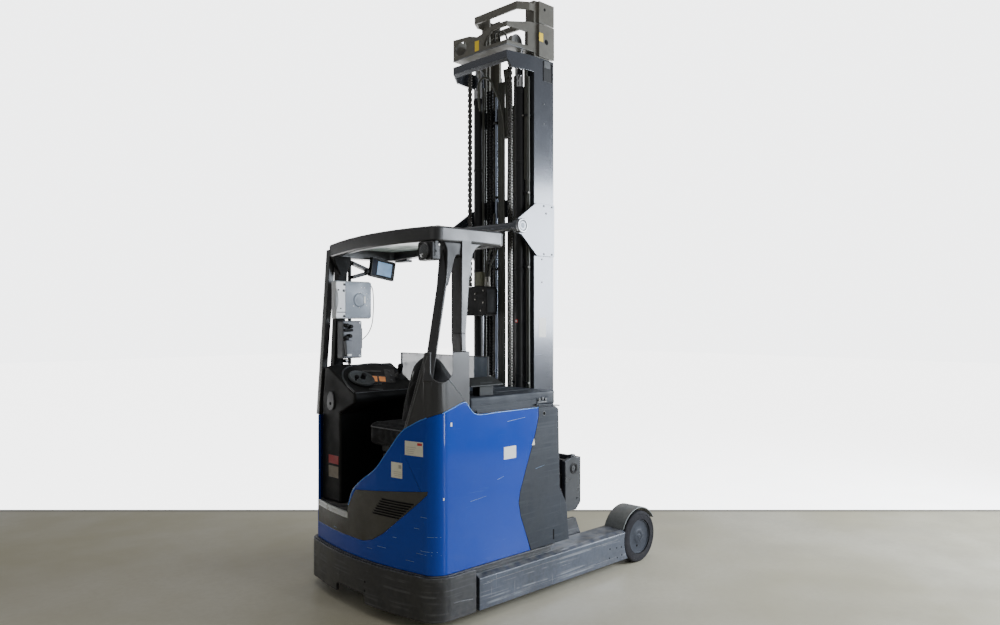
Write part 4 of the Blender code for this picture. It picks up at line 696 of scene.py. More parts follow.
def rounded_copy(node: str, finish: Finish, edge: float = 0.0015, segments: int = 2, angle: float = 28.0,
                 sharp: float = 40.0) -> bpy.types.Object:
    """Replace a CAD node by its own shape with rounded edges.

    Args:
        node: the node.
        finish: its finish.
        edge: the rounding's width.
        segments: the rounding's steps.
        angle: only edges sharper than this, in degrees, are rounded.
        sharp: the angle that keeps a hard edge in the shading.

    Returns:
        The piece that stands for the node.
    """
    shape = bmesh.new()
    shape.from_mesh(frame["nodes"][node].data)
    bmesh.ops.remove_doubles(shape, verts=shape.verts, dist=0.00002)
    bmesh.ops.dissolve_limit(shape, angle_limit=math.radians(0.8), verts=shape.verts, edges=shape.edges)
    bmesh.ops.dissolve_degenerate(shape, edges=shape.edges, dist=0.0002)
    large = [face for face in shape.faces if len(face.verts) > 4]
    bmesh.ops.triangulate(shape, faces=large, quad_method="BEAUTY", ngon_method="BEAUTY")
    hard = [e for e in shape.edges if len(e.link_faces) == 2 and e.calc_face_angle(0.0) > math.radians(angle)]
    hard = [e for e in hard if e.calc_length() > edge * 2.2]
    bmesh.ops.bevel(shape, geom=hard, offset=edge, offset_type="OFFSET", segments=segments, profile=0.5,
                    affect="EDGES", clamp_overlap=False, material=-1)
    mesh = bpy.data.meshes.new(node + "_rounded")
    shape.to_mesh(mesh)
    shape.free()
    made = dressed(mesh, node + "_rounded", finish, BODY_OF[node], sharp)
    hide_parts(node)
    return made


def paint(node: str, finish: Finish) -> None:
    """Give a CAD node a finish through its own material slots."""
    target = frame["nodes"][node]
    if not target.material_slots:
        target.data.materials.append(None)
    for slot in target.material_slots:
        slot.link = "OBJECT"
        slot.material = finish.make()


@dataclass
class Studio:
    """The camera at the photograph's angle, soft lights and a plain pale floor."""

    eye: Point = (-2.5992, -3.8422, 1.6855)
    heading: float = 0.7939
    lens: float = 28.44
    film: float = 36.0
    rise: float = 0.0055
    room: float = 0.32
    wall: float = 4.6
    wall_line: float = 1.64
    foot_shade_width: float = 0.10
    ahead: Pair = (0.7010, 0.7131)

    def camera(self) -> None:
        """Set up the level camera."""
        data = bpy.data.cameras.new("camera")
        data.lens = self.lens
        data.sensor_width = self.film
        data.shift_y = self.rise
        data.clip_end = 100.0
        rig = bpy.data.objects.new("camera", data)
        rig.location = Vector(self.eye) + ORIGIN
        rig.rotation_euler = (math.pi / 2, 0.0, self.heading - math.pi / 2)
        bpy.context.scene.collection.objects.link(rig)
        bpy.context.scene.camera = rig

    def lamp(self, name: str, spot: Point, aim: Point, size: Pair, power: float,
             tint: Colour = (1.0, 1.0, 1.0)) -> None:
        """Add a soft light.

        Args:
            name: its name.
            spot: where it hangs.
            aim: where it points.
            size: its width and height.
            power: its power in watts.
            tint: its colour.
        """
        data = bpy.data.lights.new(name, "AREA")
        data.shape = "RECTANGLE"
        data.size, data.size_y = size
        data.energy = power
        data.color = tint
        rig = bpy.data.objects.new(name, data)
        rig.location = spot
        rig.rotation_euler = (Vector(aim) - Vector(spot)).to_track_quat("-Z", "Y").to_euler()
        bpy.context.scene.collection.objects.link(rig)

    def lights(self) -> None:
        """Add the long window's light from the right, the ceiling's light, a weak fill and the bright room."""
        self.lamp("right_window", (4.15, -3.84, 2.44), (0.6, 0.0, 2.0), (4.2, 2.0), 620.0, (0.84, 0.91, 1.0))
        self.lamp("ceiling", (-0.2, -0.4, 6.6), (0.0, 0.0, 1.0), (5.0, 5.0), 120.0)
        self.lamp("left_fill", (-6.0, -0.6, 2.6), (0.0, 0.0, 1.4), (3.5, 3.5), 15.0, (1.0, 0.99, 0.97))
        self.lamp("strip", (0.1, -5.4, 1.5), (-0.7, -0.55, 1.0), (0.50, 2.6), 75.0, (0.90, 0.95, 1.0))
        world = bpy.data.worlds.new("room")
        world.use_nodes = True
        tree = world.node_tree
        tree.nodes["Background"].inputs[0].default_value = (0.92, 0.93, 0.94, 1.0)
        seen = tree.nodes.new("ShaderNodeLightPath")
        strength = tree.nodes.new("ShaderNodeMapRange")
        strength.inputs["To Min"].default_value = self.room
        strength.inputs["To Max"].default_value = self.wall
        tree.links.new(seen.outputs["Is Camera Ray"], strength.inputs["Value"])
        tree.links.new(strength.outputs[0], tree.nodes["Background"].inputs[1])
        bpy.context.scene.world = world

    def floor(self) -> None:
        """Lay the floor: worn pale concrete near the truck, darkened by a band of painted shade just before the
        wall's line, and plain white beyond that line.
        """
        shape = bmesh.new()
        bmesh.ops.create_grid(shape, x_segments=2, y_segments=2, size=30.0)
        mesh = bpy.data.meshes.new("floor")
        shape.to_mesh(mesh)
        shape.free()
        made = bpy.data.objects.new("floor", mesh)
        graph = Graph("pale_floor")
        stains = graph.between(graph.noise(0.55, 6.0), 0.35, 0.70)
        specks = graph.between(graph.noise(26.0, 6.0), 0.30, 0.75)
        tone = graph.mix(stains, (0.375, 0.343, 0.240), (0.47, 0.440, 0.355))
        tone = graph.mix(graph.product(specks, 0.35), tone, (0.37, 0.340, 0.26))
        place = graph.add("ShaderNodeSeparateXYZ", {0: graph.place})
        away = graph.step("ADD", *(graph.product(place.outputs[axis], self.ahead[axis]) for axis in (0, 1)))
        beyond = graph.between(away, self.wall_line, self.wall_line + 0.02)
        # Painted shade: the floor darkens over the last stretch before the wall's line, as the shadow at the wall's
        # foot.
        line = graph.between(away, self.wall_line - self.foot_shade_width, self.wall_line)
        tone = graph.mix(line, tone, (0.13, 0.12, 0.10))
        graph.feed("Base Color", graph.mix(beyond, tone, (0.90, 0.90, 0.90)))
        graph.feed("Emission Color", (1.0, 1.0, 1.0, 1.0))
        graph.feed("Emission Strength", graph.step("MULTIPLY", beyond, self.wall - 0.35))
        graph.feed("Roughness", graph.between(graph.noise(2.4, 5.0), 0.3, 0.7, (0.30, 0.52)))
        made.data.materials.append(graph.material)
        bpy.context.scene.collection.objects.link(made)

    def build(self) -> None:
        """Set up the whole studio."""
        self.camera()
        self.lights()
        self.floor()


@dataclass
class PlainNodes:
    """The CAD nodes whose own shapes are kept, with rounded edges and their finishes."""

    def rounded(self) -> dict[str, tuple[Finish, float]]:
        """Each node with its finish and the width of its edges' rounding."""
        return {
            "bumper": (GRAPHITE, 0.004), "chassis": (GRAPHITE, 0.002), "arm_right": (ARM, 0.003),
            "arm_left": (ARM, 0.003), "fender_right": (FENDER, 0.002), "fender_left": (FENDER, 0.002),
            "cab_floor": (MAT, 0.002), "bulkhead": (PLASTIC, 0.002), "body_right": (BLUE, 0.004),
            "body_left": (BLUE, 0.004), "vent_panel": (VENT, 0.002), "step_strip": (ALUMINIUM, 0.001),
            "top_cover": (COVER, 0.002), "tray": (TRAY, 0.003), "battery": (BLACK, 0.003),
            "battery_cover_right": (COVER, 0.003), "battery_cover_left": (COVER, 0.003),
            "overhead_guard": (GUARD, 0.004), "work_lamp": (BLACK, 0.003), "console": (PLASTIC, 0.004),
            "pedals": (RUBBER, 0.002), "device_pole": (BLACK, 0.001), "monitor": (PLASTIC, 0.003),
            "terminal": (LIGHT_GREY, 0.004), "scanner_holder": (HOLDER_GREY, 0.003), "outer_mast": (WEB, 0.002),
            "middle_mast": (HEAD, 0.002), "inner_mast": (HEAD, 0.002), "reach_carriage": (GRAPHITE, 0.002),
            "mast_tie": (WEB, 0.0015), "valve_block": (PLASTIC, 0.003), "lift_carriage": (GRAPHITE, 0.002),
            "fork_frame": (MAST, 0.0025), "drive_fork": (BLACK, 0.002), "drive_motor": (BLACK, 0.004),
            "lift_cylinder_left": (BLACK, 0.001), "lift_cylinder_right": (BLACK, 0.001),
            "free_lift_cylinder": (BLACK, 0.002), }

    def painted(self) -> dict[str, Finish]:
        """The nodes that only take a finish."""
        return {
            "roof_pane": ROOF_CLEAR, "rear_screen": SCREEN_CLEAR, "lift_rod_left": CHROME, "lift_rod_right": CHROME,
            "drive_tyre": RUBBER, "drive_hub": WHEEL, }

    def build(self) -> None:
        """Dress them all."""
        for node, (finish, edge) in self.rounded().items():
            rounded_copy(node, finish, edge)
        for node, finish in self.painted().items():
            paint(node, finish)


@dataclass
class Shells:
    """The trim of the blue shells and the dark covers: louvres, blank labels, beads, a latch and small marks."""

    half: float = 0.609
    corner: float = 0.104
    inset: float = 0.026
    bow: float = 0.060
    bow_steps: int = 6
    slots: int = 7
    line: float = 0.0022

    def rear_x(self, y: float) -> float:
        """Where the shell's rear surface is, at a place across the truck."""
        reach = self.half - self.corner
        if abs(y) < reach:
            spot = (y + reach) / (2 * reach) * self.bow_steps
            first = math.floor(spot)
            ends = [self.inset + self.bow * (2 * step / self.bow_steps - 1) ** 2 for step in (first, first + 1)]
            return ends[0] + (ends[1] - ends[0]) * (spot - first)
        centre = self.bow + self.inset + self.corner
        return centre - math.sqrt(max(0.0, self.corner**2 - (abs(y) - reach) ** 2))

    def skin(self, form: Form, across: Pair, up: Pair, lift: float = 0.0008, sink: float = 0.002,
             steps: int = 14) -> Form:
        """Add a thin sheet that follows the shell's bowed rear.

        Args:
            form: the form to add it to.
            across: its two ends across the truck.
            up: its lower and upper edge.
            lift: how far it stands out of the shell.
            sink: how far it reaches into the shell.
            steps: the bow's steps.

        Returns:
            The form.
        """
        places = [across[0] + (across[1] - across[0]) * step / steps for step in range(steps + 1)]
        outer = [(self.rear_x(y) - lift, y) for y in places]
        inner = [(self.rear_x(y) + sink, y) for y in reversed(places)]
        return form.plate(outer + inner, *up, Plane.XY, edge=0.0)

    def louvres(self) -> None:
        """Build the seven slots of the vent panel as near-black sheets of painted shade, each with a thin lip above
        it.
        """
        dark, lips = Form(), Form()
        for number in range(self.slots):
            share = number / (self.slots - 1)
            left, right = -0.214 + 0.078 * share, -0.450 + 0.102 * share
            z = 0.672 - 0.0148 * number
            # Each slot is a near-black sheet of painted shade.
            self.skin(dark, (right, left), (z - 0.0066, z), 0.0006)
            self.skin(lips, (right - 0.004, left + 0.004), (z, z + 0.0026), 0.0035)
        dark.piece("vent_slots", OPENING_SHADE)
        lips.piece("vent_lips", PLASTIC)

    def labels(self) -> None:
        """Build the blank labels and marks."""
        cream = self.skin(Form(), (-0.518, -0.391), (0.936, 1.014))
        self.skin(cream, (-0.372, -0.289), (0.802, 0.888)).piece("rear_labels", LABEL_CREAM)
        self.skin(Form(), (-0.512, -0.478), (0.994, 1.008), 0.0012).piece("label_corner", LABEL_RED)
        marks = self.skin(Form(), (-0.366, -0.346), (0.856, 0.876), 0.0012)
        for number in range(4):
            high = 0.982 - 0.011 * number
            self.skin(marks, (-0.470 + 0.006 * number, -0.400), (high - self.line, high), 0.0012, steps=6)
        for number in range(3):
            high = 0.838 - 0.011 * number
            self.skin(marks, (-0.362, -0.300 - 0.008 * number), (high - self.line, high), 0.0012, steps=6)
        marks.piece("label_blocks", LABEL_GREY)
        side = -self.half
        white = Form().box((0.611, 0.711), (side - 0.0008, side + 0.001), (0.868, 0.940), 0.0003, 1)
        white.piece("side_label", LABEL_WHITE)
        marks = Form().plate([(0.846, 0.925), (0.872, 0.925), (0.866, 0.965)], side - 0.0008, side + 0.001, Plane.XZ,
                             0.0)
        marks.piece("side_mark", LABEL_CREAM)
        Form().box((0.1190, 0.1202), (0.352, 0.462), (0.690, 0.762), 0.0003, 1).piece("leg_label", LABEL_BEIGE)
        Form().box((0.1190, 0.1202), (0.352, 0.462), (0.776, 0.828), 0.0003, 1).piece("leg_tag", LABEL_DARK_RED)

    def beads(self) -> None:
        """Build the rounded lips along the blue shell's upper edges, in a lighter blue that paints their highlight,
        and the pale seam of the corner housing.
        """
        side = -self.half
        dip = [(0.365, 1.165), (0.385, 1.152), (0.410, 1.1455), (0.560, 1.1455), (0.730, 1.1455), (0.903, 1.1455)]
        run = [(0.150, 1.1725), (0.230, 1.199), (0.300, 1.2205), (0.318, 1.218), (0.337, 1.197)] + dip
        Form().hose([(x, side + 0.0012, z) for x, z in run], 0.0032).piece("side_bead", BLUE_LIP_HIGHLIGHT)
        sweep = [(0.109, 0.583), (0.060, 0.675), (-0.025, 0.745), (-0.152, 0.826), (-0.266, 0.948), (-0.380, 1.070)]
        sweep += [(-0.430, 1.098), (-0.477, 1.122), (-0.540, 1.148)]
        Form().hose([(self.rear_x(y) + 0.001, y, z) for y, z in sweep], 0.0032).piece("doorway_bead", BLUE_LIP_HIGHLIGHT)
        seam = [(-0.400, 1.085), (-0.425, 1.150), (-0.475, 1.290), (-0.545, 1.480)]
        Form().hose([(self.rear_x(y) + 0.0005, y, z) for y, z in seam], 0.0028).piece("housing_seam", GREY_EDGE)

    def rubs(self) -> None:
        """Build the thin pale rub marks on the shell's rear and the side."""
        form = Form()
        marks = [(-0.491, -0.453, 0.544), (-0.600, -0.545, 0.508), (-0.600, -0.470, 0.410), (-0.590, -0.500, 0.428),
                 (-0.330, -0.300, 0.470), (-0.455, -0.395, 0.360), (-0.245, -0.175, 0.398), (-0.545, -0.500, 0.610),
                 (-0.130, -0.080, 0.372), (0.250, 0.290, 0.420)]
        for right, left, z in marks:
            self.skin(form, (right, left), (z, z + self.line), 0.0004, 0.001, 4)
        for low, high, z in ((0.640, 0.790, 1.085), (0.560, 0.610, 0.760), (0.350, 0.470, 0.668),
                             (0.880, 0.960, 0.780)):
            tilt = [(low, z), (high, z + 0.012), (high, z + 0.0135), (low, z + self.line)]
            form.plate(tilt, -self.half - 0.0004, -self.half + 0.001, Plane.XZ, 0.0)
        form.piece("rub_marks", RUB)
        mark = Form().box((0.204, 0.216), (-self.half - 0.001, -self.half + 0.002), (1.098, 1.120), 0.0006, 1)
        mark.piece("corner_mark", LABEL_WHITE)
        self.skin(Form(), (-0.6055, -0.6035), (0.704, 0.718), 0.0006, 0.001, 2).piece("corner_dash", LABEL_WHITE)

    def latch(self) -> None:
        """Build the top cover's catch, the flap over the battery cover, and the small openings below it as dark
        pieces of painted shade.
        """
        side = -self.half
        steel = Form()
        for x, z in ((0.905, 1.193), (0.935, 1.199), (0.962, 1.192)):
            steel.rod((x, side + 0.012, z), (x, side - 0.010, z), 0.009, 20, edge=0.002)
        steel.box((0.895, 0.975), (side - 0.004, side + 0.006), (1.172, 1.181), 0.002)
        steel.piece("cover_catch", GREY_EDGE)
        dark = Form().box((0.884, 0.988), (side - 0.002, side + 0.010), (1.166, 1.210), 0.004, 3)
        dark.plate([(0.870, 1.163), (1.082, 1.143), (1.082, 1.150), (0.872, 1.171)], side - 0.016, side + 0.006,
                   Plane.XZ, 0.002)
        dark.piece("cover_flap", COVER)
        holes = Form().rod((0.956, side - 0.0006, 1.106), (0.956, side + 0.004, 1.106), 0.011, 28)
        holes.box((1.036, 1.047), (side - 0.0006, side + 0.004), (0.325, 0.388), 0.0)
        holes.piece("cover_holes", OPENING_SHADE)
        rim = Form().lathe([(0.0108, 0.0), (0.0145, 0.0), (0.0145, 0.002), (0.0108, 0.002), (0.0108, 0.0)],
                           (0.956, side + 0.001, 1.106), (0.0, -1.0, 0.0), 32)
        rim.piece("cover_eye", GREY_EDGE)

    def cover_band(self) -> None:
        """Build the raised band round the top cover's side and its shallow top recess."""
        side = -self.half
        band = Form().box((0.430, 0.880), (side - 0.003, side + 0.004), (1.196, 1.2005), 0.001)
        band.box((0.430, 0.880), (side - 0.0025, side + 0.004), (1.1515, 1.1560), 0.001)
        for number in range(5):
            band.box((0.700, 0.990), (-0.45 + 0.2 * number, -0.438 + 0.2 * number), (1.2395, 1.2425), 0.001)
        band.piece("cover_band", COVER)

    def build(self) -> None:
        """Build all the trim."""
        self.louvres()
        self.labels()
        self.beads()
        self.rubs()
        self.latch()
        self.cover_band()


@dataclass
class Skirt:
    """The bumper's and the wheel arms' trim: lines of painted highlight, lugs, screws, the ribbed skid below and the
    step.
    """

    half: float = 0.635

    def bumper(self) -> None:
        """Build the bumper's recessed screws, as dark discs of painted shade, and a line of painted highlight along
        its side.
        """
        screws = Form()
        for x, y, z in ((0.0215, 0.209, 0.226), (0.0215, 0.214, 0.133), (0.0065, -0.097, 0.184),
                        (0.0065, -0.093, 0.133)):
            screws.rod((x - 0.003, y, z), (x + 0.012, y, z), 0.0065, 18)
        screws.piece("bumper_screw_shade", OPENING_SHADE)
        # A line of painted highlight along the bumper's side.
        line = Form().hose([(x, -self.half + 0.0005, z) for x, z in ((0.205, 0.150), (0.270, 0.146), (0.345, 0.138))],
                           0.002)
        line.piece("bumper_highlight", EDGE_HIGHLIGHT)

    def skid(self) -> None:
        """Build the ribbed block below the bumper, behind the steered wheel."""
        form = Form()
        for number in range(6):
            y = -0.400 + 0.030 * number
            form.box((0.150, 0.330), (y, y + 0.014), (0.064, 0.110), 0.003)
        form.box((0.150, 0.330), (-0.405, -0.230), (0.100, 0.150), 0.004)
        form.piece("skid_block", PLASTIC)

    def arms(self) -> None:
        """Build the screws near each load wheel as dark discs of painted shade, the lifting lug, and strips of
        painted highlight along the arms' edges.
        """
        for side, word in SIDES:
            out = side * self.half
            dark = Form()
            for x, z in ((1.571, 0.161), (1.643, 0.155), (1.695, 0.150), (1.566, 0.102), (1.700, 0.096),
                         (1.650, 0.088)):
                dark.rod((x, out - side * 0.004, z), (x, out + side * 0.0006, z), 0.0055, 16)
            dark.piece(f"arm_screw_shade_{word}", OPENING_SHADE)
            # Strips of painted highlight along the arm's upper and lower edges.
            strip = Form().box((0.45, 1.66), sorted((out - side * 0.006, out + side * 0.0004)), (0.205, 0.2085),
                               0.0008, 1)
            strip.box((0.45, 1.62), sorted((out - side * 0.006, out + side * 0.0004)), (0.092, 0.0945), 0.0008, 1)
            strip.piece(f"arm_edge_highlights_{word}", EDGE_HIGHLIGHT)
            lug = Form().box((0.398, 0.428), sorted((out - side * 0.012, out - side * 0.0002)), (0.0605, 0.110),
                             0.003)
            lug.piece(f"arm_lug_{word}", BLACK)

    def step(self) -> None:
        """Build the grip ribs on the step's bright strip."""
        shells = Shells()
        form = Form()
        for number in range(34):
            y = 0.146 + 0.0112 * number
            shells.skin(form, (y, y + 0.005), (0.510, 0.5345), 0.0022, 0.001, 1)
        shells.skin(form, (0.128, 0.528), (0.5375, 0.5405), 0.003)
        form.piece("step_ribs", ALUMINIUM)

    def build(self) -> None:
        """Build all of it."""
        self.bumper()
        self.skid()
        self.arms()
        self.step()


@dataclass
class LoadWheels:
    """The load wheels: a thin grey tyre on a dished iron wheel with a cap over its axle."""

    x: float = 1.920
    radius: float = 0.175
    width: float = 0.100
    hub: float = 0.118
    out: float = 0.625

    def tyre(self, middle: Point, side: int, word: str) -> None:
        """Turn one tyre in place of its node."""
        half, radius = self.width / 2, self.radius
        inner = self.hub + 0.0004
        profile = [(inner, -half), (radius - 0.020, -half), (radius - 0.0075, -half + 0.002),
                   (radius - 0.002, -half + 0.007)]
        profile += [(radius, -half + 0.014), (radius, half - 0.014), (radius - 0.002, half - 0.007)]
        profile += [(radius - 0.0075, half - 0.002), (radius - 0.020, half), (radius - 0.023, half - 0.002)]
        profile += [(radius - 0.026, half), (inner, half), (inner, -half)]
        made = Form().lathe(profile, middle, (0.0, float(side), 0.0), 96).piece(f"tyre_{word}", TREAD,
                                                                                f"load_wheel_{word}")
        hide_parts(f"load_tyre_{word}")

    def wheel(self, middle: Point, side: int, word: str) -> None:
        """Turn one dished wheel in place of its node, with one of its small holes as a dark disc of painted shade."""
        half, hub, bore = self.width / 2 - 0.006, self.hub, 0.0286
        dish = [(hub, -half), (hub, half - 0.004), (hub - 0.003, half - 0.001), (hub - 0.008, half - 0.001),
                (hub - 0.012, half - 0.006)]
        dish += [(0.092, half - 0.008), (0.070, half - 0.0085), (0.052, half - 0.007), (0.044, half - 0.003),
                 (0.040, half - 0.0015)]
        dish += [(bore, half - 0.0015), (bore, -half), (hub, -half)]
        made = Form().lathe(dish, middle, (0.0, float(side), 0.0), 96).piece(f"hub_{word}", WHEEL,
                                                                             f"load_wheel_{word}")
        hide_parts(f"load_hub_{word}")
        face = middle[1] + side * (half - 0.008)
        hole = Form().rod((self.x - 0.015, face - side * 0.003, self.radius - 0.062),
                          (self.x - 0.015, face + side * 0.0012, self.radius - 0.062), 0.0075, 20)
        hole.piece(f"hub_hole_{word}", OPENING_SHADE, f"load_wheel_{word}")
        cap = Form().lathe([(0.0, 0.006), (0.010, 0.006), (0.014, 0.003), (0.0265, 0.0025), (0.0265, 0.0),
                            (0.0, 0.0)], (self.x, side * (self.out - 0.0115), self.radius), (0.0, float(side), 0.0),
                            40)
        cap.piece(f"axle_cap_{word}", WHEEL)

    def fenders(self) -> None:
        """Build the rolled outer edge of each fender."""
        for side, word in SIDES:
            radius = self.radius + 0.0235
            run = [math.radians(158 - 126 * step / 20) for step in range(21)]
            y = side * 0.6165
            points = [(self.x + radius * math.cos(a), y, self.radius + radius * math.sin(a)) for a in run]
            points = [point for point in points if point[2] > 0.2563]
            Form().hose(points, 0.0036).piece(f"fender_edge_{word}", FENDER)

    def build(self) -> None:
        """Build both wheels and the fenders' edges."""
        for side, word in SIDES:
            middle = (self.x, side * (self.out - self.width / 2), self.radius)
            self.tyre(middle, side, word)
            self.wheel(middle, side, word)
        self.fenders()


@dataclass
class Chains:
    """The two lift chains as leaf chain: plates in alternate stacks, on pins."""

    x: float = 1.079
    y: float = 0.1945
    pitch: float = 0.0182
    depth: float = 0.0056
    lowest: Pair = (1.202, 1.902)
    top: float = 3.418

    def plate_outline(self, z: float) -> list[Pair]:
        """One plate's outline in the xz plane: two round ends and a waist."""
        reach, wide = self.pitch * 0.68, self.depth
        points = []
        for share, width in ((-1.0, 0.55), (-0.80, 1.0), (-0.25, 1.0), (0.0, 0.72), (0.25, 1.0), (0.80, 1.0),
                             (1.0, 0.55)):
            points.append((width * wide, z + share * reach))
        return [(self.x + across, up) for across, up in points] + [(self.x - across, up) for across,
                                                                   up in reversed(points)]

    def build(self) -> None:
        """Build both chains in place of their nodes."""
        for side, word, low in ((RIGHT, "right", self.lowest[0]), (LEFT, "left", self.lowest[1])):
            plates, pins = Form(), Form()
            middle = side * self.y
            count = int((self.top - low) / self.pitch)
            for number in range(count):
                z = low + self.pitch * (number + 0.7)
                if z + self.pitch * 0.7 > self.top + 0.004:
                    continue
                rows = (-0.0075, 0.0075) if number % 2 else (-0.0150, 0.0, 0.0150)
                for row in rows:
                    plates.plate(self.plate_outline(z), middle + row - 0.0026, middle + row + 0.0026, Plane.XZ, 0.0)
                pin = z + self.pitch / 2
                pins.rod((self.x, middle - 0.0188, pin), (self.x, middle + 0.0188, pin), 0.0030, 8)
            made = plates.piece(f"chain_plates_{word}", CHAIN, "reach_mast")
            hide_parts(f"chain_{word}")
            pins.piece(f"chain_pins_{word}", PIN, "reach_mast")


@dataclass
class MastDress:
    """The mast's hoses, clamps, fasteners, blank tags and the tie tube's bright bosses."""

    web: float = 0.293
    tie: Pair = (1.036, 2.276)
    tie_plate: float = 0.018
    boss_long: float = 0.040
    cylinder: Pair = (1.165, 0.200)
    tag_z: float = 1.666
    pulley: Point = (1.125, 0.1945, 3.505)
    ribs: int = 96
    rib_pitch: float = 0.0205
    ribs_low: float = 1.290

    def ribbed(self) -> None:
        """Turn the two ribbed hoses that stand between the channels."""
        form = Form()
        for y in (0.088, 0.118):
            profile = [(0.0, self.ribs_low)]
            for number in range(self.ribs):
                z = self.ribs_low + self.rib_pitch * number
                profile += [(0.0105, z), (0.0138, z + 0.005), (0.0138, z + 0.011), (0.0105, z + 0.016)]
            profile.append((0.0, self.ribs_low + self.rib_pitch * self.ribs))
            form.lathe(profile, (1.183, y, 0.0), (0.0, 0.0, 1.0), 16)
        form.piece("ribbed_hoses", PLASTIC, "reach_mast", 60.0)

    def hoses(self) -> None:
        """Build the plain hoses behind the right channel with their clamps."""
        form = Form()
        for y, lean, top in ((-0.150, 0.010, 3.30), (-0.258, 0.004, 3.33), (-0.276, 0.0, 3.27),
                             (-0.118, 0.012, 3.20)):
            points = [(1.180, y, 0.46), (1.176, y, 1.00), (1.172 + lean / 3, y, 1.80), (1.172, y + lean / 3, 2.55),
                      (1.168, y, top)]
            form.hose(points, 0.0075)
        for y in (-0.033, -0.018, -0.002, 0.014):
            form.hose([(1.186, y, 0.50), (1.188, y - 0.001, 1.60), (1.186, y + 0.001, 2.60), (1.184, y, 3.29)],
                      0.0078)
        form.hose([(1.172, 0.160, 1.95), (1.170, 0.156, 2.70), (1.166, 0.150, 3.28)], 0.0085)
        for y in (-0.052, -0.068, -0.084, -0.100):
            form.hose([(1.187, y + 0.004, 2.90), (1.187, y, 3.02), (1.186, y, 3.24), (1.170, y + 0.002, 3.365)],
                      0.0084)
        for y in (-0.160, -0.243):
            form.hose([(1.172, y, 2.60), (1.174, y, 3.10), (1.172, y, 3.365)], 0.0085)
        form.hose([(1.095, 0.110, 3.10), (1.060, 0.085, 3.20), (1.045, 0.050, 3.29), (1.060, 0.010, 3.30),
                   (1.110, -0.020, 3.22), (1.150, -0.045, 3.10), (1.165, -0.060, 2.90)], 0.0075)
        form.piece("mast_hoses", HOSE, "reach_mast")
        ram = Form()
        for y in (-0.030, -0.004, 0.022):
            ram.hose([(1.290, y * 0.6 - 0.004, 2.285), (1.290, y, 2.36), (1.290, y, 2.80), (1.290, y, 3.12)], 0.0125)
        ram.piece("ram_hoses", HOSE, "inner_stage")
        pipe = Form().hose([(1.184, 0.040, 0.60), (1.184, 0.040, 3.20)], 0.0095, smooth=False)
        pipe.piece("mast_pipe", PIPE, "reach_mast")
        clamps = Form()
        for y in (-0.150, -0.258, 0.036):
            for z in (2.510, 3.020, 2.020, 1.260):
                clamps.box((1.160, 1.196), (y - 0.014, y + 0.014), (z - 0.008, z + 0.008), 0.003)
        clamps.piece("hose_clamps", BLACK, "reach_mast")
        screws = Form()
        for y, z in ((-0.285, 2.020), (-0.285, 2.507), (-0.234, 3.020), (-0.123, 3.020), (-0.285, 1.260)):
            screws.bolt((1.160, y, z), (-1.0, 0.0, 0.0), 0.0055, 0.006)
        screws.piece("clamp_screws", ZINC, "reach_mast")

    def web_dress(self) -> None:
        """Build the bolts, the blank label and the pocket on each outer web."""
        for side, word in SIDES:
            bolts = Form()
            on_plate, on_web = side * (self.web + self.tie_plate), side * self.web
            for x, z in ((1.281, 2.427), (1.302, 2.380), (1.281, 2.109), (1.360, 2.427), (1.360, 2.109)):
                bolts.bolt((x, on_plate, z), (0.0, side, 0.0), 0.0055, 0.004)
            for x, z in ((1.281, 1.923), (1.281, 2.075), (1.300, 3.110), (1.300, 2.980)):
                bolts.bolt((x, on_web, z), (0.0, side, 0.0), 0.005, 0.003)
            bolts.piece(f"web_bolts_{word}", GREY_EDGE, "reach_mast")
            pocket = Form()
            for x in ((1.293, 1.299), (1.377, 1.383)):
                pocket.box(x, sorted((on_web, on_web + side * 0.004)), (3.262, 3.396), 0.001)
            for z in ((3.262, 3.268), (3.390, 3.396)):
                pocket.box((1.293, 1.383), sorted((on_web, on_web + side * 0.004)), z, 0.001)
            pocket.box((1.299, 1.377), sorted((on_web, on_web + side * 0.001)), (3.268, 3.390), 0.0)
            pocket.piece(f"web_pocket_{word}", BLACK, "reach_mast")
        label = Form().box((1.252, 1.321), (-self.web - 0.0006, -self.web + 0.001), (1.559, 1.686), 0.0003, 1)
        label.piece("web_label", LABEL_WHITE, "reach_mast")

    def bosses(self) -> None:
        """Turn the bright ends of the tie tube."""
        x, z = self.tie
        for side, word in SIDES:
            end = side * (self.web + self.tie_plate + self.boss_long)
            ring = [(0.0455, -0.016), (0.0475, -0.012), (0.0475, 0.001), (0.043, 0.0045), (0.036, 0.0048),
                    (0.032, 0.001), (0.030, -0.004)]
            ring += [(0.026, -0.004), (0.0, -0.004), (0.0, -0.016), (0.0455, -0.016)]
            Form().lathe(ring, (x, end, z), (0.0, float(side), 0.0), 56).piece(f"boss_ring_{word}", RING,
                                                                               "reach_mast")
            core = Form().lathe([(0.0, 0.003), (0.015, 0.003), (0.020, -0.001), (0.022, -0.004), (0.0, -0.004)],
                                (x, end, z), (0.0, float(side), 0.0), 40)
            core.piece(f"boss_core_{word}", BLUE_GREY, "reach_mast")

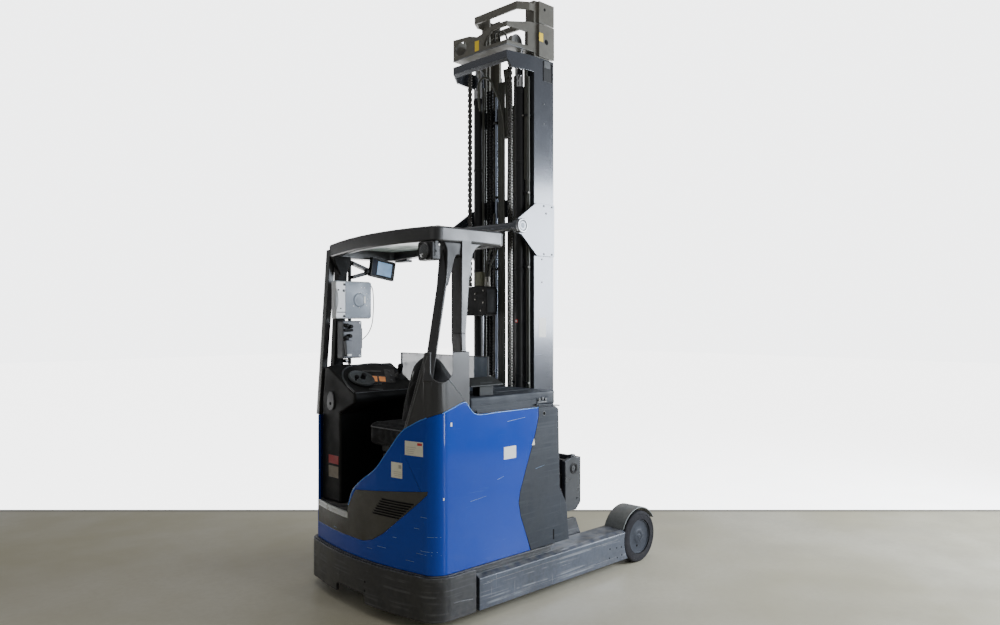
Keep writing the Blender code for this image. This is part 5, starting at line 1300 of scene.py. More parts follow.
    def block(self) -> None:
        """Build the valve block's screws, fittings and the brass piece that stands on it."""
        zinc = Form()
        for y, z in ((0.030, 1.870), (0.110, 1.810), (0.110, 1.850), (0.055, 1.735), (0.185, 1.735), (0.030, 1.790)):
            zinc.bolt((1.0492, y, z), (-1.0, 0.0, 0.0), 0.0045, 0.004)
        zinc.piece("block_screws", ZINC, "reach_mast")
        olive = Form().box((1.070, 1.110), (0.074, 0.134), (1.901, 2.000), 0.006, 3)
        olive.piece("block_filter", OLIVE, "reach_mast")
        fittings = Form()
        for y in (0.020, 0.050):
            fittings.rod((1.095, y, 1.899), (1.095, y, 1.930), 0.011, 6, edge=0.001)
            fittings.rod((1.095, y, 1.925), (1.095, y, 1.965), 0.0085, 20)
        fittings.piece("block_fittings", ZINC, "reach_mast")
        hose = Form().hose([(1.095, 0.020, 1.960), (1.100, 0.012, 2.040), (1.150, 0.004, 2.150), (1.165, 0.0, 2.300)],
                           0.0075)
        hose.hose([(1.095, 0.050, 1.960), (1.105, 0.050, 2.060), (1.150, 0.046, 2.200), (1.168, 0.044, 2.400)],
                  0.0075)
        hose.piece("block_hoses", HOSE, "reach_mast")

    def cylinder_dress(self) -> None:
        """Build the lift cylinders' glands and the round blank sticker."""
        x, y = self.cylinder
        for side, word in SIDES:
            gland = [(0.0236, 3.170), (0.0350, 3.170), (0.0365, 3.175), (0.0365, 3.205), (0.0340, 3.2115),
                     (0.0236, 3.2115), (0.0236, 3.170)]
            made = Form().lathe(gland, (x, side * y, 0.0), (0.0, 0.0, 1.0), 40)
            for z in (1.30, 2.00, 2.70):
                made.lathe([(0.0322, z), (0.0345, z + 0.002), (0.0345, z + 0.022), (0.0322, z + 0.024), (0.0322, z)],
                           (x, side * y, 0.0), (0.0, 0.0, 1.0), 32)
            made.piece(f"cylinder_gland_{word}", BLACK, "reach_mast")
        disc = Form().rod((1.1322, -y, self.tag_z), (1.1342, -y, self.tag_z), 0.0125, 28)
        disc.piece("cylinder_tag", LABEL_RED, "reach_mast")
        middle = Form().rod((1.1316, -y, self.tag_z), (1.1330, -y, self.tag_z), 0.0075, 24)
        middle.piece("cylinder_tag_middle", LABEL_WHITE, "reach_mast")

    def heads(self) -> None:
        """Build the middle head's yellow tags, pulley pins, rim lips, the hole in its side as a dark disc of painted
        shade, and its hose loops.
        """
        yellow = Form().box((1.254, 1.293), (-0.2936, -0.2920), (3.522, 3.578), 0.0003, 1)
        yellow.box((0.9812, 0.9826), (0.000, 0.040), (3.465, 3.532), 0.0003, 1)
        yellow.piece("head_tags", LABEL_YELLOW, "middle_stage")
        holes = Form().rod((1.325, -0.2938, 3.528), (1.325, -0.2890, 3.528), 0.017, 28)
        holes.piece("head_hole", OPENING_SHADE, "middle_stage")
        # The inner head's side hole, as a dark disc of painted shade.
        hole_top = Form().rod((1.330, -0.2738, 3.752), (1.330, -0.2690, 3.752), 0.010, 24)
        hole_top.piece("top_hole", OPENING_SHADE, "inner_stage")
        lip = Form().hose([(1.150, -0.2655, 3.4475), (1.060, -0.2635, 3.4475), (0.9835, -0.2575, 3.4475),
                           (0.981, -0.10, 3.4475), (0.981, 0.10, 3.4475), (0.9835, 0.2575, 3.4475)], 0.0045,
                           smooth=False)
        lip.piece("head_lip", GREY_EDGE, "middle_stage")
        pins = Form()
        x, reach, z = self.pulley
        for side in (RIGHT, LEFT):
            y = side * reach
            pins.rod((x, y - 0.022, z), (x, y + 0.022, z), 0.013, 24, edge=0.001)
            for along in (-0.0175, 0.0175):
                pins.lathe([(0.014, -0.002), (0.049, -0.002), (0.049, 0.002), (0.014, 0.002), (0.014, -0.002)],
                           (x, y + along, z), (0.0, 1.0, 0.0), 40)
        pins.piece("pulley_flanges", STEEL, "middle_stage")
        loops = Form().hose([(1.150, -0.080, 3.46), (1.090, -0.085, 3.540), (1.060, -0.120, 3.575),
                             (1.060, -0.160, 3.560), (1.085, -0.175, 3.480)], 0.0065)
        loops.hose([(1.150, -0.030, 3.46), (1.100, -0.030, 3.560), (1.075, -0.070, 3.590), (1.075, -0.110, 3.585)],
                   0.0065)
        loops.piece("head_hoses", HOSE, "middle_stage")
        grey = Form().hose([(1.060, 0.020, 3.300), (1.020, 0.015, 3.340), (0.9995, 0.020, 3.385),
                            (1.020, 0.040, 3.410)], 0.004)
        grey.piece("head_loop", GREY_EDGE, "reach_mast")
        lug = Form().box((1.300, 1.360), (-0.2975, -0.2925), (3.355, 3.400), 0.002)
        lug.piece("head_lug", GREY_EDGE, "reach_mast")

    def build(self) -> None:
        """Build all of the mast's dress."""
        self.ribbed()
        self.hoses()
        self.web_dress()
        self.bosses()
        self.block()
        self.cylinder_dress()
        self.heads()


@dataclass
class ForkCarriageDress:
    """The fork carriage's bosses, bolts and the black bracket behind its side plate."""

    side: float = 0.415
    shaft: Pair = (1.462, 0.680)

    def build(self) -> None:
        """Build the details on both sides."""
        x, z = self.shaft
        for side, word in SIDES:
            out = side * self.side
            ring = [(0.0215, -0.004), (0.037, -0.004), (0.038, 0.001), (0.036, 0.0035), (0.0325, 0.0040),
                    (0.0305, 0.0015), (0.0285, 0.0015)]
            ring += [(0.0265, 0.0045), (0.0235, 0.0045), (0.0215, 0.002), (0.0215, -0.004)]
            Form().lathe(ring, (x, out, z), (0.0, float(side), 0.0), 48).piece(f"tilt_boss_{word}", BLACK,
                                                                               "fork_tilt_frame")
            cap = Form().rod((x, side * 0.4005, z), (x, side * 0.4145, z), 0.0190, 28, edge=0.002)
            cap.bolt((x, side * 0.4140, z), (0.0, side, 0.0), 0.006, 0.004)
            cap.piece(f"tilt_bolt_{word}", GREY_EDGE_SOFT, "carriage")
            edge = Form().box((1.380, 1.384), sorted((out - side * 0.002, out + side * 0.0015)), (0.420, 0.725),
                              0.001)
            edge.bolt((1.455, out, 0.762), (0.0, side, 0.0), 0.006, 0.004)
            edge.bolt((1.500, out, 0.475), (0.0, side, 0.0), 0.006, 0.004)
            edge.piece(f"side_plate_dress_{word}", MAST, "fork_tilt_frame")
            bracket = [(1.377, 0.648), (1.400, 0.640), (1.412, 0.610), (1.414, 0.560), (1.409, 0.470), (1.404, 0.420),
                       (1.396, 0.405)]
            bracket += [(1.380, 0.450), (1.362, 0.505), (1.352, 0.560), (1.355, 0.610)]
            body = Form().plate(bracket, *sorted((side * 0.352, side * 0.376)), Plane.XZ, 0.006, 3)
            body.piece(f"carriage_bracket_{word}", PLASTIC, "carriage")
            dot = Form().bolt((1.374, side * 0.376, 0.543), (0.0, side, 0.0), 0.006, 0.004)
            dot.piece(f"bracket_bolt_{word}", ZINC, "carriage")


@dataclass
class GuardDress:
    """The overhead guard's lamp, the webs and housings at its posts, its small roof pieces and the rear screen's
    rubber edge.
    """

    lamp: Point = (0.125, -0.4825, 2.0515)
    post_foot: Point = (0.2375, 0.5725, 1.105)
    post_lean: Pair = (3.10, 0.82)

    def work_lamp(self) -> None:
        """Build the work lamp's ring, reflector, domed lens and bracket."""
        x, y, z = self.lamp
        ring = [(0.041, -0.004), (0.0485, -0.004), (0.0485, 0.006), (0.046, 0.009), (0.042, 0.007), (0.041, -0.004)]
        Form().lathe(ring, (x, y, z), (-1.0, 0.0, 0.0), 48).piece("lamp_ring", BLACK)
        bowl = [(0.0, -0.002), (0.012, -0.001), (0.030, 0.0015), (0.0405, 0.0045), (0.0405, -0.003), (0.0, -0.003)]
        Form().lathe(bowl, (x, y, z), (-1.0, 0.0, 0.0), 40).piece("lamp_reflector", DARK_GLASS)
        dome = [(0.0, 0.0135), (0.018, 0.0125), (0.031, 0.0100), (0.0405, 0.0062), (0.0405, 0.0046), (0.0, 0.0046)]
        Form().lathe(dome, (x, y, z), (-1.0, 0.0, 0.0), 40).piece("lamp_lens", LENS)
        fins = Form()
        for number in range(7):
            high = z - 0.038 + 0.0125 * number
            fins.box((0.1895, 0.1965), (y - 0.050, y + 0.050), (high, high + 0.004), 0.0008, 1)
        fins.box((0.148, 0.166), (-0.5485, -0.5448), (z - 0.030, 2.1045), 0.001)
        fins.bolt((0.157, -0.5485, z), (0.0, -1.0, 0.0), 0.006, 0.004)
        fins.piece("lamp_fins", BLACK)
        Form().rod((0.178, -0.5465, z + 0.033), (0.178, -0.5440, z + 0.033), 0.0055, 16).piece("lamp_dot",
                                                                                               LABEL_WHITE)

    def roof(self) -> None:
        """Build the small pieces below the roof and on its upper edge."""
        form = Form().box((0.640, 0.690), (0.340, 0.470), (2.0585, 2.0740), 0.004)
        form.box((0.560, 0.585), (0.505, 0.530), (2.045, 2.066), 0.003)
        form.piece("roof_light", GREY_EDGE)
        caps = Form()
        for x, y in ((0.20, -0.510), (0.62, -0.510), (0.20, 0.505), (0.62, 0.505)):
            drop = 0.040 * ((y + 0.545) / 1.09) ** 2
            caps.rod((x, y, 2.1905 - drop), (x, y, 2.1945 - drop), 0.013, 24, edge=0.0015)
        caps.piece("roof_caps", BLACK)

    def gussets(self) -> None:
        """Build the moulded webs that round the corners where the right posts meet the roof; the arch between the
        posts is darkened with painted shade.
        """
        arch = [(0.215, 2.1065), (0.408, 2.1065), (0.402, 1.900), (0.350, 1.900), (0.349, 1.975), (0.344, 2.010),
                (0.333, 2.030)]
        arch += [(0.318, 2.036), (0.304, 2.030), (0.294, 2.010), (0.280, 1.960), (0.250, 1.862), (0.222, 1.862),
                 (0.236, 1.990), (0.238, 2.060)]
        form = Form().plate(arch, -0.541, -0.466, Plane.XZ, 0.014, 4)
        # The arch takes the darker copy of the guard's plastic, as painted shade.
        form.piece("guard_arch", GUARD_PAINTED_SHADE)
        form = Form()
        flare = [(0.398, 2.1065), (0.520, 2.1065), (0.478, 2.098), (0.448, 2.078), (0.428, 2.048), (0.4165, 2.000),
                 (0.4135, 1.920), (0.398, 1.920)]
        form.plate(flare, -0.5445, -0.4600, Plane.XZ, 0.008, 3)
        form.piece("guard_gussets", GUARD)
        foot = Vector(self.post_foot)
        inward, back = (math.radians(angle) for angle in self.post_lean)
        lean = Matrix.Rotation(inward, 4, "X") @ Matrix.Rotation(back, 4, "Y")
        turn = Matrix.Translation(foot) @ lean @ Matrix.Translation(-foot)
        sleeve = Form().box((0.2025, 0.2725), (0.5470, 0.5985), (1.125, 2.050), 0.006, 3, turn)
        sleeve.piece("post_sleeve", PLASTIC)
        housing = [(0.150, 2.078), (0.282, 2.078), (0.278, 2.030), (0.250, 1.962), (0.205, 1.955), (0.165, 2.030)]
        Form().plate(housing, 0.455, 0.486, Plane.XZ, 0.006, 3).piece("device_housing", PLASTIC)

    def screen(self) -> None:
        """Build the rubber edge of the rear screen."""
        form = Form()
        for y in (-0.424, 0.420):
            form.box((0.656, 0.670), (y, y + 0.004), (1.242, 1.452), 0.001)
        form.box((0.656, 0.670), (-0.424, 0.424), (1.4505, 1.4545), 0.001)
        form.piece("screen_edge", RUBBER_TRIM)

    def build(self) -> None:
        """Build all of it."""
        self.work_lamp()
        self.gussets()
        self.roof()
        self.screen()


@dataclass
class Screens:
    """The monitor's glass, the terminal's shells, the scanner in its holder, and the terminal's cable."""

    turn: float = 9.0
    pivot: Pair = (0.513, 2.0075)
    face: float = 0.4247
    cable_y: float = 0.430
    cable_radius: float = 0.0031

    def monitor(self) -> None:
        """Build the blank lit screen, its bezel's lip, and its knobs."""
        there = Matrix.Translation((self.pivot[0], 0.0, self.pivot[1]))
        lean = there @ Matrix.Rotation(math.radians(self.turn), 4, "Y") @ there.inverted()
        y = self.face
        glass = Form().box((0.466, 0.582), (y - 0.0006, y + 0.002), (1.964, 2.052), 0.0006, 1, lean)
        glass.piece("monitor_screen", SCREEN)
        lip = Form()
        whole, tall = (0.419, 0.607), (1.9535, 2.0615)
        for across, up in ((whole, (2.0615, 2.0670)), (whole, (1.9480, 1.9535)), ((0.419, 0.4245), tall),
                           ((0.6015, 0.607), tall)):
            lip.box(across, (y - 0.0030, y + 0.001), up, 0.0012, 2, lean)
        for number in range(4):
            low = 1.966 + 0.021 * number
            lip.box((0.5870, 0.5965), (y - 0.0022, y + 0.001), (low, low + 0.011), 0.0010, 2, lean)
        lip.piece("monitor_lip", BLACK)
        panel = Form().box((0.4275, 0.4610), (y - 0.0008, y + 0.001), (1.957, 2.058), 0.0006, 1, lean)
        panel.piece("monitor_panel", NIGHT_BLUE)
        knobs = Form().rod((0.392, 0.455, 1.990), (0.392, 0.424, 1.990), 0.013, 8, edge=0.002)
        knobs.rod((0.300, 0.500, 2.040), (0.300, 0.463, 2.040), 0.016, 8, edge=0.002)
        knobs.piece("bracket_knobs", PLASTIC)

    def terminal(self) -> None:
        """Build the terminal's two shells, the round cover, the tab, the dots, the lower strip and small white discs
        that paint the glints on its screws.
        """
        y = self.face - 0.025
        edge = [(0.1345, 1.686), (0.199, 1.686), (0.199, 1.914), (0.1345, 1.914), (0.1300, 1.900), (0.1330, 1.872)]
        edge += [(0.1445, 1.840), (0.1480, 1.800), (0.1450, 1.765), (0.1340, 1.732), (0.1305, 1.700)]
        Form().plate(edge, y - 0.004, y + 0.004, Plane.XZ, 0.002, 3).piece("terminal_front", PALE)
        back = Form().box((0.2005, 0.3975), (y - 0.0018, y + 0.004), (1.688, 1.912), 0.0015)
        back.lathe([(0.0, 0.0045), (0.026, 0.0045), (0.030, 0.0036), (0.0335, 0.0046), (0.040, 0.0046),
                    (0.0455, 0.002), (0.0455, -0.001), (0.0, -0.001)], (0.306, y, 1.800), (0.0, -1.0, 0.0), 56)
        back.piece("terminal_back", BLUE_GREY)
        tab = Form().box((0.338, 0.352), (y - 0.0056, y - 0.001), (1.780, 1.825), 0.0008)
        tab.piece("terminal_tab", LABEL_WHITE)
        dots = Form()
        for x, z, radius in ((0.192, 1.897, 0.0085), (0.187, 1.858, 0.0085), (0.148, 1.862, 0.0055),
                             (0.190, 1.697, 0.0085), (0.165, 1.745, 0.0045)):
            dots.rod((x, y - 0.007, z), (x, y - 0.002, z), radius, 20, edge=0.001)
        dots.box((0.136, 0.198), (y - 0.0048, y - 0.0035), (1.7195, 1.7245), 0.0004, 1)
        dots.piece("terminal_dots", BLACK)
        # Painted highlight: small white discs stand for the glints on the terminal's screws.
        lights = Form()
        for x, z in ((0.322, 1.880), (0.346, 1.880), (0.305, 1.847), (0.320, 1.847), (0.362, 1.842), (0.305, 1.752),
                     (0.262, 1.762), (0.300, 1.775), (0.362, 1.765), (0.368, 1.808)):
            lights.rod((x, y - 0.0026, z), (x, y - 0.001, z), 0.0030, 12)
        lights.piece("terminal_screw_glints", LABEL_WHITE)

    def holder(self) -> None:
        """Build the holder's two black clamps, the hand scanner that hangs in it, its thin pale strip and screws, and
        the pole's knobs.
        """
        y = self.face - 0.040
        clamps = Form()
        for x, z in ((0.192, 1.640), (0.222, 1.632), (0.190, 1.560), (0.215, 1.572)):
            clamps.rod((x, y + 0.004, z), (x, y - 0.030, z), 0.0145, 8, far=0.0120, edge=0.003)
        clamps.box((0.176, 0.240), (y - 0.020, y + 0.002), (1.600, 1.618), 0.005)
        clamps.box((0.176, 0.210), (y - 0.020, y + 0.002), (1.538, 1.552), 0.005)
        clamps.piece("holder_clamps", PLASTIC)
        cradle = Form().plate([(0.178, 1.545), (0.232, 1.545), (0.226, 1.452), (0.186, 1.452)], y - 0.026, y + 0.001,
                              Plane.XZ, 0.006, 3)
        cradle.piece("holder_cradle", HOLDER_GREY)
        cup = Form().box((0.190, 0.222), (y - 0.028, y - 0.020), (1.446, 1.459), 0.002)
        cup.piece("cradle_lip", PALE)
        rims = Form().box((0.3185, 0.3198), (y, y + 0.050), (1.49, 1.62), 0.0004, 1)
        for x, z in ((0.300, 1.655), (0.300, 1.445)):
            rims.bolt((x, y, z), (0.0, -1.0, 0.0), 0.005, 0.003)
        rims.piece("holder_screws", PALE)
        low = Form().rod((0.250, 0.492, 1.370), (0.250, 0.452, 1.370), 0.016, 8, edge=0.002)
        low.rod((0.256, 0.492, 1.410), (0.256, 0.465, 1.410), 0.014, 8, edge=0.002)
        low.box((0.236, 0.300), (0.478, 0.500), (1.355, 1.386), 0.004)
        low.piece("pole_knobs", PLASTIC)
        Form().rod((0.256, 0.464, 1.414), (0.256, 0.4622, 1.414), 0.008, 16).piece("pole_knob_cap", PALE)

    def route(self) -> list[Point]:
        """The cable's middle line, as the source draws it."""
        start, end, y = 0.4003, 0.3203, self.cable_y
        spots = [(start, 1.900), (start + 0.014, 1.899), (start + 0.031, 1.872), (start + 0.038, 1.800),
                 (start + 0.036, 1.720)]
        spots += [(start + 0.026, 1.645), (end + 0.078, 1.588), (end + 0.040, 1.553), (end + 0.016, 1.542),
                  (end, 1.540)]
        points = [Vector((x, y, z)) for x, z in spots]
        points = [2 * points[0] - points[1], *points, 2 * points[-1] - points[-2]]
        made = []
        for before, first, last, after in zip(points, points[1:], points[2:], points[3:]):
            for step in range(4):
                t = step / 4
                made.append(0.5 * (2 * first + (last - before) * t
                                   + (2 * before - 5 * first + 4 * last - after) * t**2
                                   + (3 * first - before - 3 * last + after) * t**3))
        return [tuple(point) for point in made + [points[-2]]]

    def cable(self) -> None:
        """Build the terminal's cable with its two sleeves."""
        line = self.route()
        cable = Form().hose(line, self.cable_radius, 3, smooth=False).piece("cable", CABLE, sharp=60.0)
        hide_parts("terminal_cable")
        first, last = Vector(line[0]), Vector(line[-1])
        sleeves = Form().rod(tuple(first - Vector((0.001, 0, 0))), tuple(first + Vector((0.012, 0, 0))), 0.0052, 16,
                             far=0.0034)
        sleeves.rod(tuple(last - Vector((0.001, 0, 0))), tuple(last + Vector((0.010, 0, 0))), 0.0050, 16, far=0.0034)
        made = sleeves.piece("cable_sleeves", CABLE)

    def build(self) -> None:
        """Build all of it."""
        self.monitor()
        self.terminal()
        self.holder()
        self.cable()


@dataclass
class Dash:
    """The console's steering dish with its knob, the displays, the buttons, the joystick and the pedals' ribs."""

    low: Point = (0.0, 0.180, 1.230)
    lean: float = math.atan2(0.155, 0.290)
    wheel: Point = (0.250, 0.136, 0.001)

    def slope(self) -> Matrix:
        """The dash's own frame: x across it, y up along the slope and z out of it."""
        return Matrix.Translation(self.low) @ Matrix.Rotation(self.lean, 4, "X")

    def spot(self, across: float, along: float, out: float = 0.0) -> Point:
        """A place on the slope, or a little out of it."""
        return tuple(self.slope() @ Vector((across, along, out)))

    def outward(self) -> Point:
        """The way out of the slope."""
        return tuple(self.slope().to_3x3() @ Vector((0.0, 0.0, 1.0)))

    def steering(self) -> None:
        """Turn the steering dish and its knob in place of their node."""
        axis = self.outward()
        dish = [(0.0, 0.0), (0.060, 0.0), (0.078, 0.004), (0.0845, 0.011), (0.0850, 0.017), (0.0825, 0.0225),
                (0.0770, 0.0245)]
        dish += [(0.0715, 0.0215), (0.066, 0.0150), (0.050, 0.0105), (0.030, 0.0105), (0.026, 0.0150),
                 (0.014, 0.0175), (0.0, 0.0180)]
        made = Form().lathe(dish, self.spot(*self.wheel), axis, 72).piece("steering_dish", DISH)
        stem = self.spot(self.wheel[0] - 0.055, self.wheel[1] - 0.020)
        knob = [(0.0, 0.012), (0.006, 0.012), (0.006, 0.026), (0.0095, 0.030), (0.0135, 0.036), (0.0140, 0.044),
                (0.0115, 0.050), (0.006, 0.0530), (0.0, 0.0535)]
        Form().lathe(knob, stem, axis, 32).piece("steering_knob", PLASTIC)
        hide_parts("steering_wheel")
        lift = self.spot(self.wheel[0] + 0.010, self.wheel[1])
        lever = Form().lathe([(0.0, 0.015), (0.016, 0.015), (0.018, 0.020), (0.014, 0.030), (0.016, 0.043),
                              (0.012, 0.050), (0.0, 0.0525)], lift, axis, 28)
        lever.piece("dish_grip", PLASTIC)

    def flat(self, form: Form, corners: Sequence[Pair], low: float, high: float, edge: float = 0.0015) -> Form:
        """Add a flat plate between two heights above the slope; corners are (across, up along the slope)."""
        return form.plate(corners, low, high, Plane.XY, edge, 2, self.slope())

    def displays(self) -> None:
        """Build the blank lit displays, their bezel, the dark recess and the buttons."""
        bezel = Form()
        self.flat(bezel, [(0.325, 0.192), (0.462, 0.170), (0.428, 0.088), (0.295, 0.098)], -0.002, 0.0020)
        self.flat(bezel, [(0.329, 0.251), (0.465, 0.233), (0.454, 0.212), (0.319, 0.232)], -0.002, 0.0030)
        self.flat(bezel, [(0.496, 0.250), (0.575, 0.237), (0.482, 0.076), (0.413, 0.086)], -0.002, 0.0040, 0.003)
        bezel.piece("display_bezel", BLACK)
        first = self.flat(Form(), [(0.342, 0.180), (0.394, 0.169), (0.360, 0.108), (0.313, 0.119)], 0.0010, 0.0026,
                          0.0005)
        self.flat(first, [(0.405, 0.166), (0.449, 0.155), (0.419, 0.101), (0.377, 0.110)], 0.0010, 0.0026, 0.0005)
        first.piece("displays", ORANGE)
        buttons = Form()
        for number in range(6):
            x = 0.300 + 0.0125 * number
            self.flat(buttons, [(x, 0.083), (x + 0.008, 0.082), (x + 0.007, 0.074), (x - 0.001, 0.075)], -0.001,
                      0.0035, 0.0008)
        self.flat(buttons, [(0.250, 0.037), (0.345, 0.021), (0.342, 0.014), (0.247, 0.030)], -0.001, 0.0020, 0.0006)
        for x, along in ((0.520, 0.215), (0.500, 0.165), (0.470, 0.110)):
            buttons.rod(self.spot(x, along, 0.003), self.spot(x, along, 0.007), 0.008, 20, edge=0.001)
        buttons.piece("dash_buttons", GREY_EDGE)

    def joystick(self) -> None:
        """Build the lift lever with its gaiter."""
        axis, foot = self.outward(), self.spot(0.560, 0.150)
        folds = [(0.034, 0.0), (0.036, 0.003), (0.030, 0.006), (0.031, 0.010), (0.025, 0.013), (0.026, 0.017),
                 (0.019, 0.020), (0.012, 0.030), (0.0, 0.032), (0.0, 0.0), (0.034, 0.0)]
        Form().lathe(folds, foot, axis, 32).piece("lever_gaiter", RUBBER_TRIM)
        grip = [(0.0, 0.028), (0.008, 0.028), (0.011, 0.045), (0.016, 0.066), (0.018, 0.084), (0.014, 0.096),
                (0.006, 0.101), (0.0, 0.102)]
        lean = (Vector(axis) + Vector((-0.25, 0.0, 0.05))).normalized()
        Form().lathe(grip, foot, tuple(lean), 28).piece("lift_lever", PLASTIC)

    def rim(self) -> None:
        """Build the dash's raised edge, the rear end's round cover and the pedals' ribs."""
        run = [(0.128, 0.010), (0.130, 0.120), (0.160, 0.215), (0.230, 0.290), (0.322, 0.316), (0.560, 0.300),
               (0.612, 0.240)]
        points = [self.spot(x, along) for x, along in run]
        Form().hose(points, 0.0055).piece("dash_edge", GREY_EDGE_SOFT)
        low = [self.spot(x, 0.002) for x in (0.130, 0.30, 0.610)]
        Form().hose(low, 0.0040).piece("dash_lower_edge", GREY_EDGE_SOFT)
        outline = [(0.395, 1.130), (0.410, 1.112), (0.440, 1.106), (0.466, 1.118), (0.474, 1.150), (0.468, 1.195),
                   (0.448, 1.224), (0.420, 1.226), (0.400, 1.205), (0.392, 1.165)]
        cover = Form().plate(outline, 0.112, 0.1205, Plane.YZ, 0.005, 3)
        cover.piece("dash_end_cover", GREY_EDGE_SOFT)
        # A dark disc of painted shade on the end cover.
        Form().rod((0.1112, 0.432, 1.150), (0.1135, 0.432, 1.150), 0.010, 20).piece("end_cover_shade_dot", OPENING_SHADE)
        ribs = Form()
        for number in range(9):
            x = 0.270 + 0.0265 * number
            ribs.box((x, x + 0.010), (0.165, 0.275), (0.5655, 0.5690), 0.0012)
        ribs.piece("pedal_ribs", RUBBER_TRIM)

    def build(self) -> None:
        """Build all of it."""
        self.steering()
        self.displays()
        self.joystick()
        self.rim()


@dataclass
class Seat:
    """The driver's seat: two padded cushions with seams and piping, the bellows below and the small controls."""

    voxel: float = 0.0065
    pressure: float = 3.6
    frames: int = 20
    cap: float = 0.013

    def blown(self, form: Form, node: str, name: str) -> bpy.types.Object:
        """Swell a closed shape as cloth under pressure, and let it stand for its node.

        Args:
            form: the shape, a little smaller than the cushion.
            node: the CAD node it stands for.
            name: the piece's name.

        Returns:
            The cushion.
        """
        bmesh.ops.translate(form.shape, vec=ORIGIN, verts=form.shape.verts)
        mesh = bpy.data.meshes.new(name)
        form.shape.to_mesh(mesh)
        form.shape.free()
        work = bpy.data.objects.new(name, mesh)
        bpy.context.scene.collection.objects.link(work)
        remesh = work.modifiers.new("even", "REMESH")
        remesh.mode = "VOXEL"
        remesh.voxel_size = self.voxel
        mesh = self.applied(work, name)
        mesh = self.pressed(work, mesh, name)
        bpy.data.objects.remove(work)
        made = dressed(mesh, name, CLOTH, "truck", 60.0)
        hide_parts(node)
        return made

    def applied(self, work: bpy.types.Object, name: str) -> bpy.types.Mesh:
        """The mesh with the object's modifiers applied, put back on it."""
        graph = bpy.context.evaluated_depsgraph_get()
        graph.update()
        mesh = bpy.data.meshes.new_from_object(work.evaluated_get(graph), depsgraph=graph)
        mesh.name = name
        work.modifiers.clear()
        work.data = mesh
        return mesh

    def pressed(self, work: bpy.types.Object, mesh: bpy.types.Mesh, name: str) -> bpy.types.Mesh:
        """Run the cloth under pressure, then limit how far each point has moved.

        Args:
            work: the object.
            mesh: its mesh at rest.
            name: the name of the new mesh.

        Returns:
            The swollen mesh.
        """
        rest = [vert.co.copy() for vert in mesh.vertices]
        cloth = work.modifiers.new("cloth", "CLOTH")
        cloth.settings.use_pressure = True
        cloth.settings.uniform_pressure_force = self.pressure
        cloth.settings.effector_weights.gravity = 0.0
        cloth.settings.quality = 5
        cloth.collision_settings.use_collision = False
        cloth.point_cache.frame_start = 1
        cloth.point_cache.frame_end = self.frames
        scene = bpy.context.scene
        for number in range(1, self.frames + 1):
            scene.frame_set(number)
        blown = self.applied(work, name)
        for vert, start in zip(blown.vertices, rest):
            moved = vert.co - start
            if moved.length > self.cap:
                vert.co = start + moved.normalized() * self.cap
        shape = bmesh.new()
        shape.from_mesh(blown)
        for _ in range(3):
            bmesh.ops.smooth_vert(shape, verts=shape.verts, factor=0.5, use_axis_x=True, use_axis_y=True,
                                  use_axis_z=True)
        shape.to_mesh(blown)
        shape.free()
        scene.frame_set(1)
        return blown

    def groove(self, cushion: bpy.types.Object, line: Sequence[Point], inward: Point, wide: float,
               deep: float) -> None:
        """Draw the cloth in along a seam.

        Args:
            cushion: the cushion.
            line: points along the seam.
            inward: the way it is drawn in.
            wide: how far from the seam the cloth is drawn in.
            deep: how deep the seam lies.
        """
        spots = [Vector(point) + ORIGIN for point in line]
        runs = [(a, b - a, (b - a).length_squared) for a, b in zip(spots, spots[1:])]
        way = Vector(inward).normalized()
        for vert in cushion.data.vertices:
            best = wide
            for start, along, square in runs:
                share = max(0.0, min(1.0, (vert.co - start).dot(along) / square))
                gap = vert.co - start - along * share
                gap -= way * gap.dot(way)
                depth = abs((vert.co - start - along * share).dot(way))
                if depth < 0.05:
                    best = min(best, gap.length)
            if best < wide:
                fall = 0.5 + 0.5 * math.cos(math.pi * best / wide)
                vert.co += way * deep * fall
        cushion.data.update()

    def piping(self, cushion: bpy.types.Object, line: Sequence[Point], name: str, radius: float = 0.0035) -> None:
        """Lay a piping cord on a cushion, through the nearest places to the points of a line.

        Args:
            cushion: the cushion.
            line: points near the cushion.
            name: the piping's name.
            radius: the piping's radius.
        """
        tree = BVHTree.FromPolygons([v.co for v in cushion.data.vertices],
                                    [list(p.vertices) for p in cushion.data.polygons])
        points = [tuple(tree.find_nearest(Vector(point) + ORIGIN)[0] - ORIGIN) for point in line]
        Form().hose(points, radius, 3).piece(name, PIPING, sharp=60.0)

    def cushion(self) -> None:
        """Build the seat cushion."""
        form = Form().plate([(0.150, -0.385), (0.535, -0.390), (0.548, -0.375), (0.548, 0.055), (0.535, 0.068),
                             (0.150, 0.063), (0.134, 0.045), (0.134, -0.367)], 0.946, 1.060, Plane.XY, 0.020, 3)
        made = self.blown(form, "seat_cushion", "seat_pad")
        ring = [(0.185, -0.330), (0.500, -0.330), (0.512, -0.315), (0.512, -0.005), (0.500, 0.010), (0.185, 0.010),
                (0.172, -0.005), (0.172, -0.315), (0.185, -0.330)]
        self.groove(made, [(x, y, 1.072) for x, y in ring], DOWN, 0.014, 0.0065)
        for x in (0.285, 0.400):
            self.groove(made, [(x, -0.325, 1.072), (x, 0.005, 1.072)], DOWN, 0.012, 0.0045)
        edge = [(0.132, -0.36), (0.132, -0.16), (0.132, 0.04), (0.145, 0.068), (0.25, 0.072), (0.42, 0.072),
                (0.535, 0.072), (0.552, 0.05), (0.552, -0.16), (0.552, -0.36), (0.535, -0.393), (0.42, -0.393),
                (0.25, -0.393), (0.147, -0.388), (0.132, -0.36)]
        self.piping(made, [(x, y, 1.044) for x, y in edge], "seat_pad_piping")

    def leaning(self, z: float, depth: float) -> float:
        """Where the backrest is across the truck at a height, a depth behind its front face."""
        return -0.262 - 0.278 * (z - 1.090) - depth

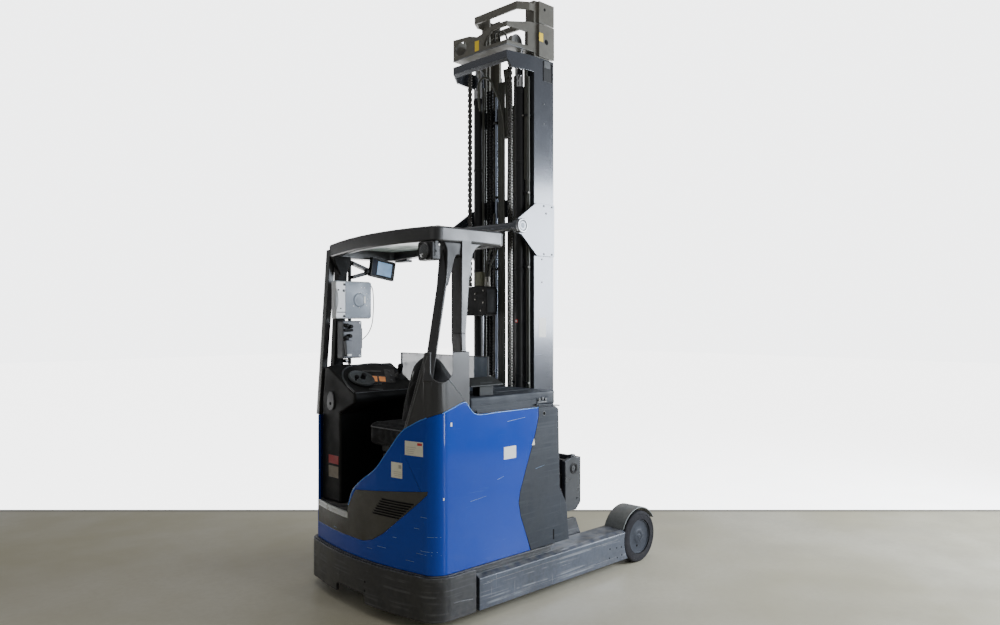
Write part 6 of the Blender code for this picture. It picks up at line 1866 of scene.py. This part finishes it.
    def backrest(self) -> None:
        """Build the backrest: high and round at the rear, and falling away towards the front."""
        outline = [(0.112, 1.098), (0.108, 1.200), (0.116, 1.330), (0.134, 1.415), (0.166, 1.462), (0.215, 1.476),
                   (0.270, 1.456)]
        outline += [(0.335, 1.405), (0.410, 1.340), (0.490, 1.275), (0.532, 1.225), (0.545, 1.180), (0.545, 1.098)]
        form = Form().plate(outline, -0.100, 0.0, Plane.XZ, 0.026, 3)
        for vert in form.shape.verts:
            vert.co.y += self.leaning(vert.co.z, 0.004)
        made = self.blown(form, "seat_backrest", "back_pad")
        facing = (0.0, -0.963, -0.268)
        for x, top in ((0.195, 1.43), (0.405, 1.30)):
            line = [(x, self.leaning(z, 0.0), z) for z in (1.115, (1.115 + top) / 2, top)]
            self.groove(made, line, facing, 0.014, 0.006)
        for z in (1.18, 1.27):
            self.groove(made, [(0.195, self.leaning(z, 0.0), z), (0.405, self.leaning(z, 0.0), z)], facing, 0.012,
                        0.0045)
        for depth, word in ((0.012, "front"), (0.092, "rear")):
            run = [(x, self.leaning(z, depth), z) for x, z in outline]
            self.piping(made, run, f"back_pad_piping_{word}")
        shell = Form()
        for z in (1.15, 1.22):
            y = self.leaning(z, 0.112)
            shell.box((0.200, 0.440), (y - 0.008, y + 0.016), (z - 0.012, z + 0.012), 0.004)
        shell.piece("back_shell_ribs", PLASTIC)

    def bellows(self) -> None:
        """Build the folded bellows and the plates in place of the seat's base."""
        form = Form()
        count, low, high = 9, 0.600, 0.900
        step = (high - low) / count
        for number in range(count):
            z = low + step * number
            for inset, start, stop in ((0.004, 0.0, 0.55), (0.020, 0.45, 1.0)):
                form.box((0.180 + inset, 0.500 - inset), (-0.360 + inset, -0.020 - inset),
                         (z + step * start, z + step * stop), 0.006, 2)
        made = form.piece("seat_bellows", RUBBER_TRIM)
        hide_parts("seat_base")
        plates = Form().box((0.182, 0.498), (-0.358, -0.022), (0.5362, 0.602), 0.008, 3)
        plates.box((0.180, 0.500), (-0.360, -0.020), (0.898, 0.9398), 0.006, 3)
        plates.rod((0.180, -0.10, 0.920), (0.168, -0.10, 0.920), 0.020, 24, edge=0.003)
        plates.box((0.172, 0.186), (-0.30, -0.18), (0.908, 0.928), 0.005)
        plates.piece("seat_plates", PLASTIC)

    def build(self) -> None:
        """Build the whole seat."""
        self.cushion()
        self.backrest()
        self.bellows()


def main() -> None:
    """Build the studio and every piece of the truck, in order."""
    Studio().build()
    truck = (PlainNodes(), Shells(), Skirt(), LoadWheels(), Chains(), MastDress(), ForkCarriageDress(), GuardDress(),
             Screens(), Dash(), Seat())
    for assembly in truck:
        LOG.info("building %s", type(assembly).__name__)
        assembly.build()


if __name__ == "__main__":
    logging.basicConfig(level=logging.INFO, format="%(message)s")
    main()
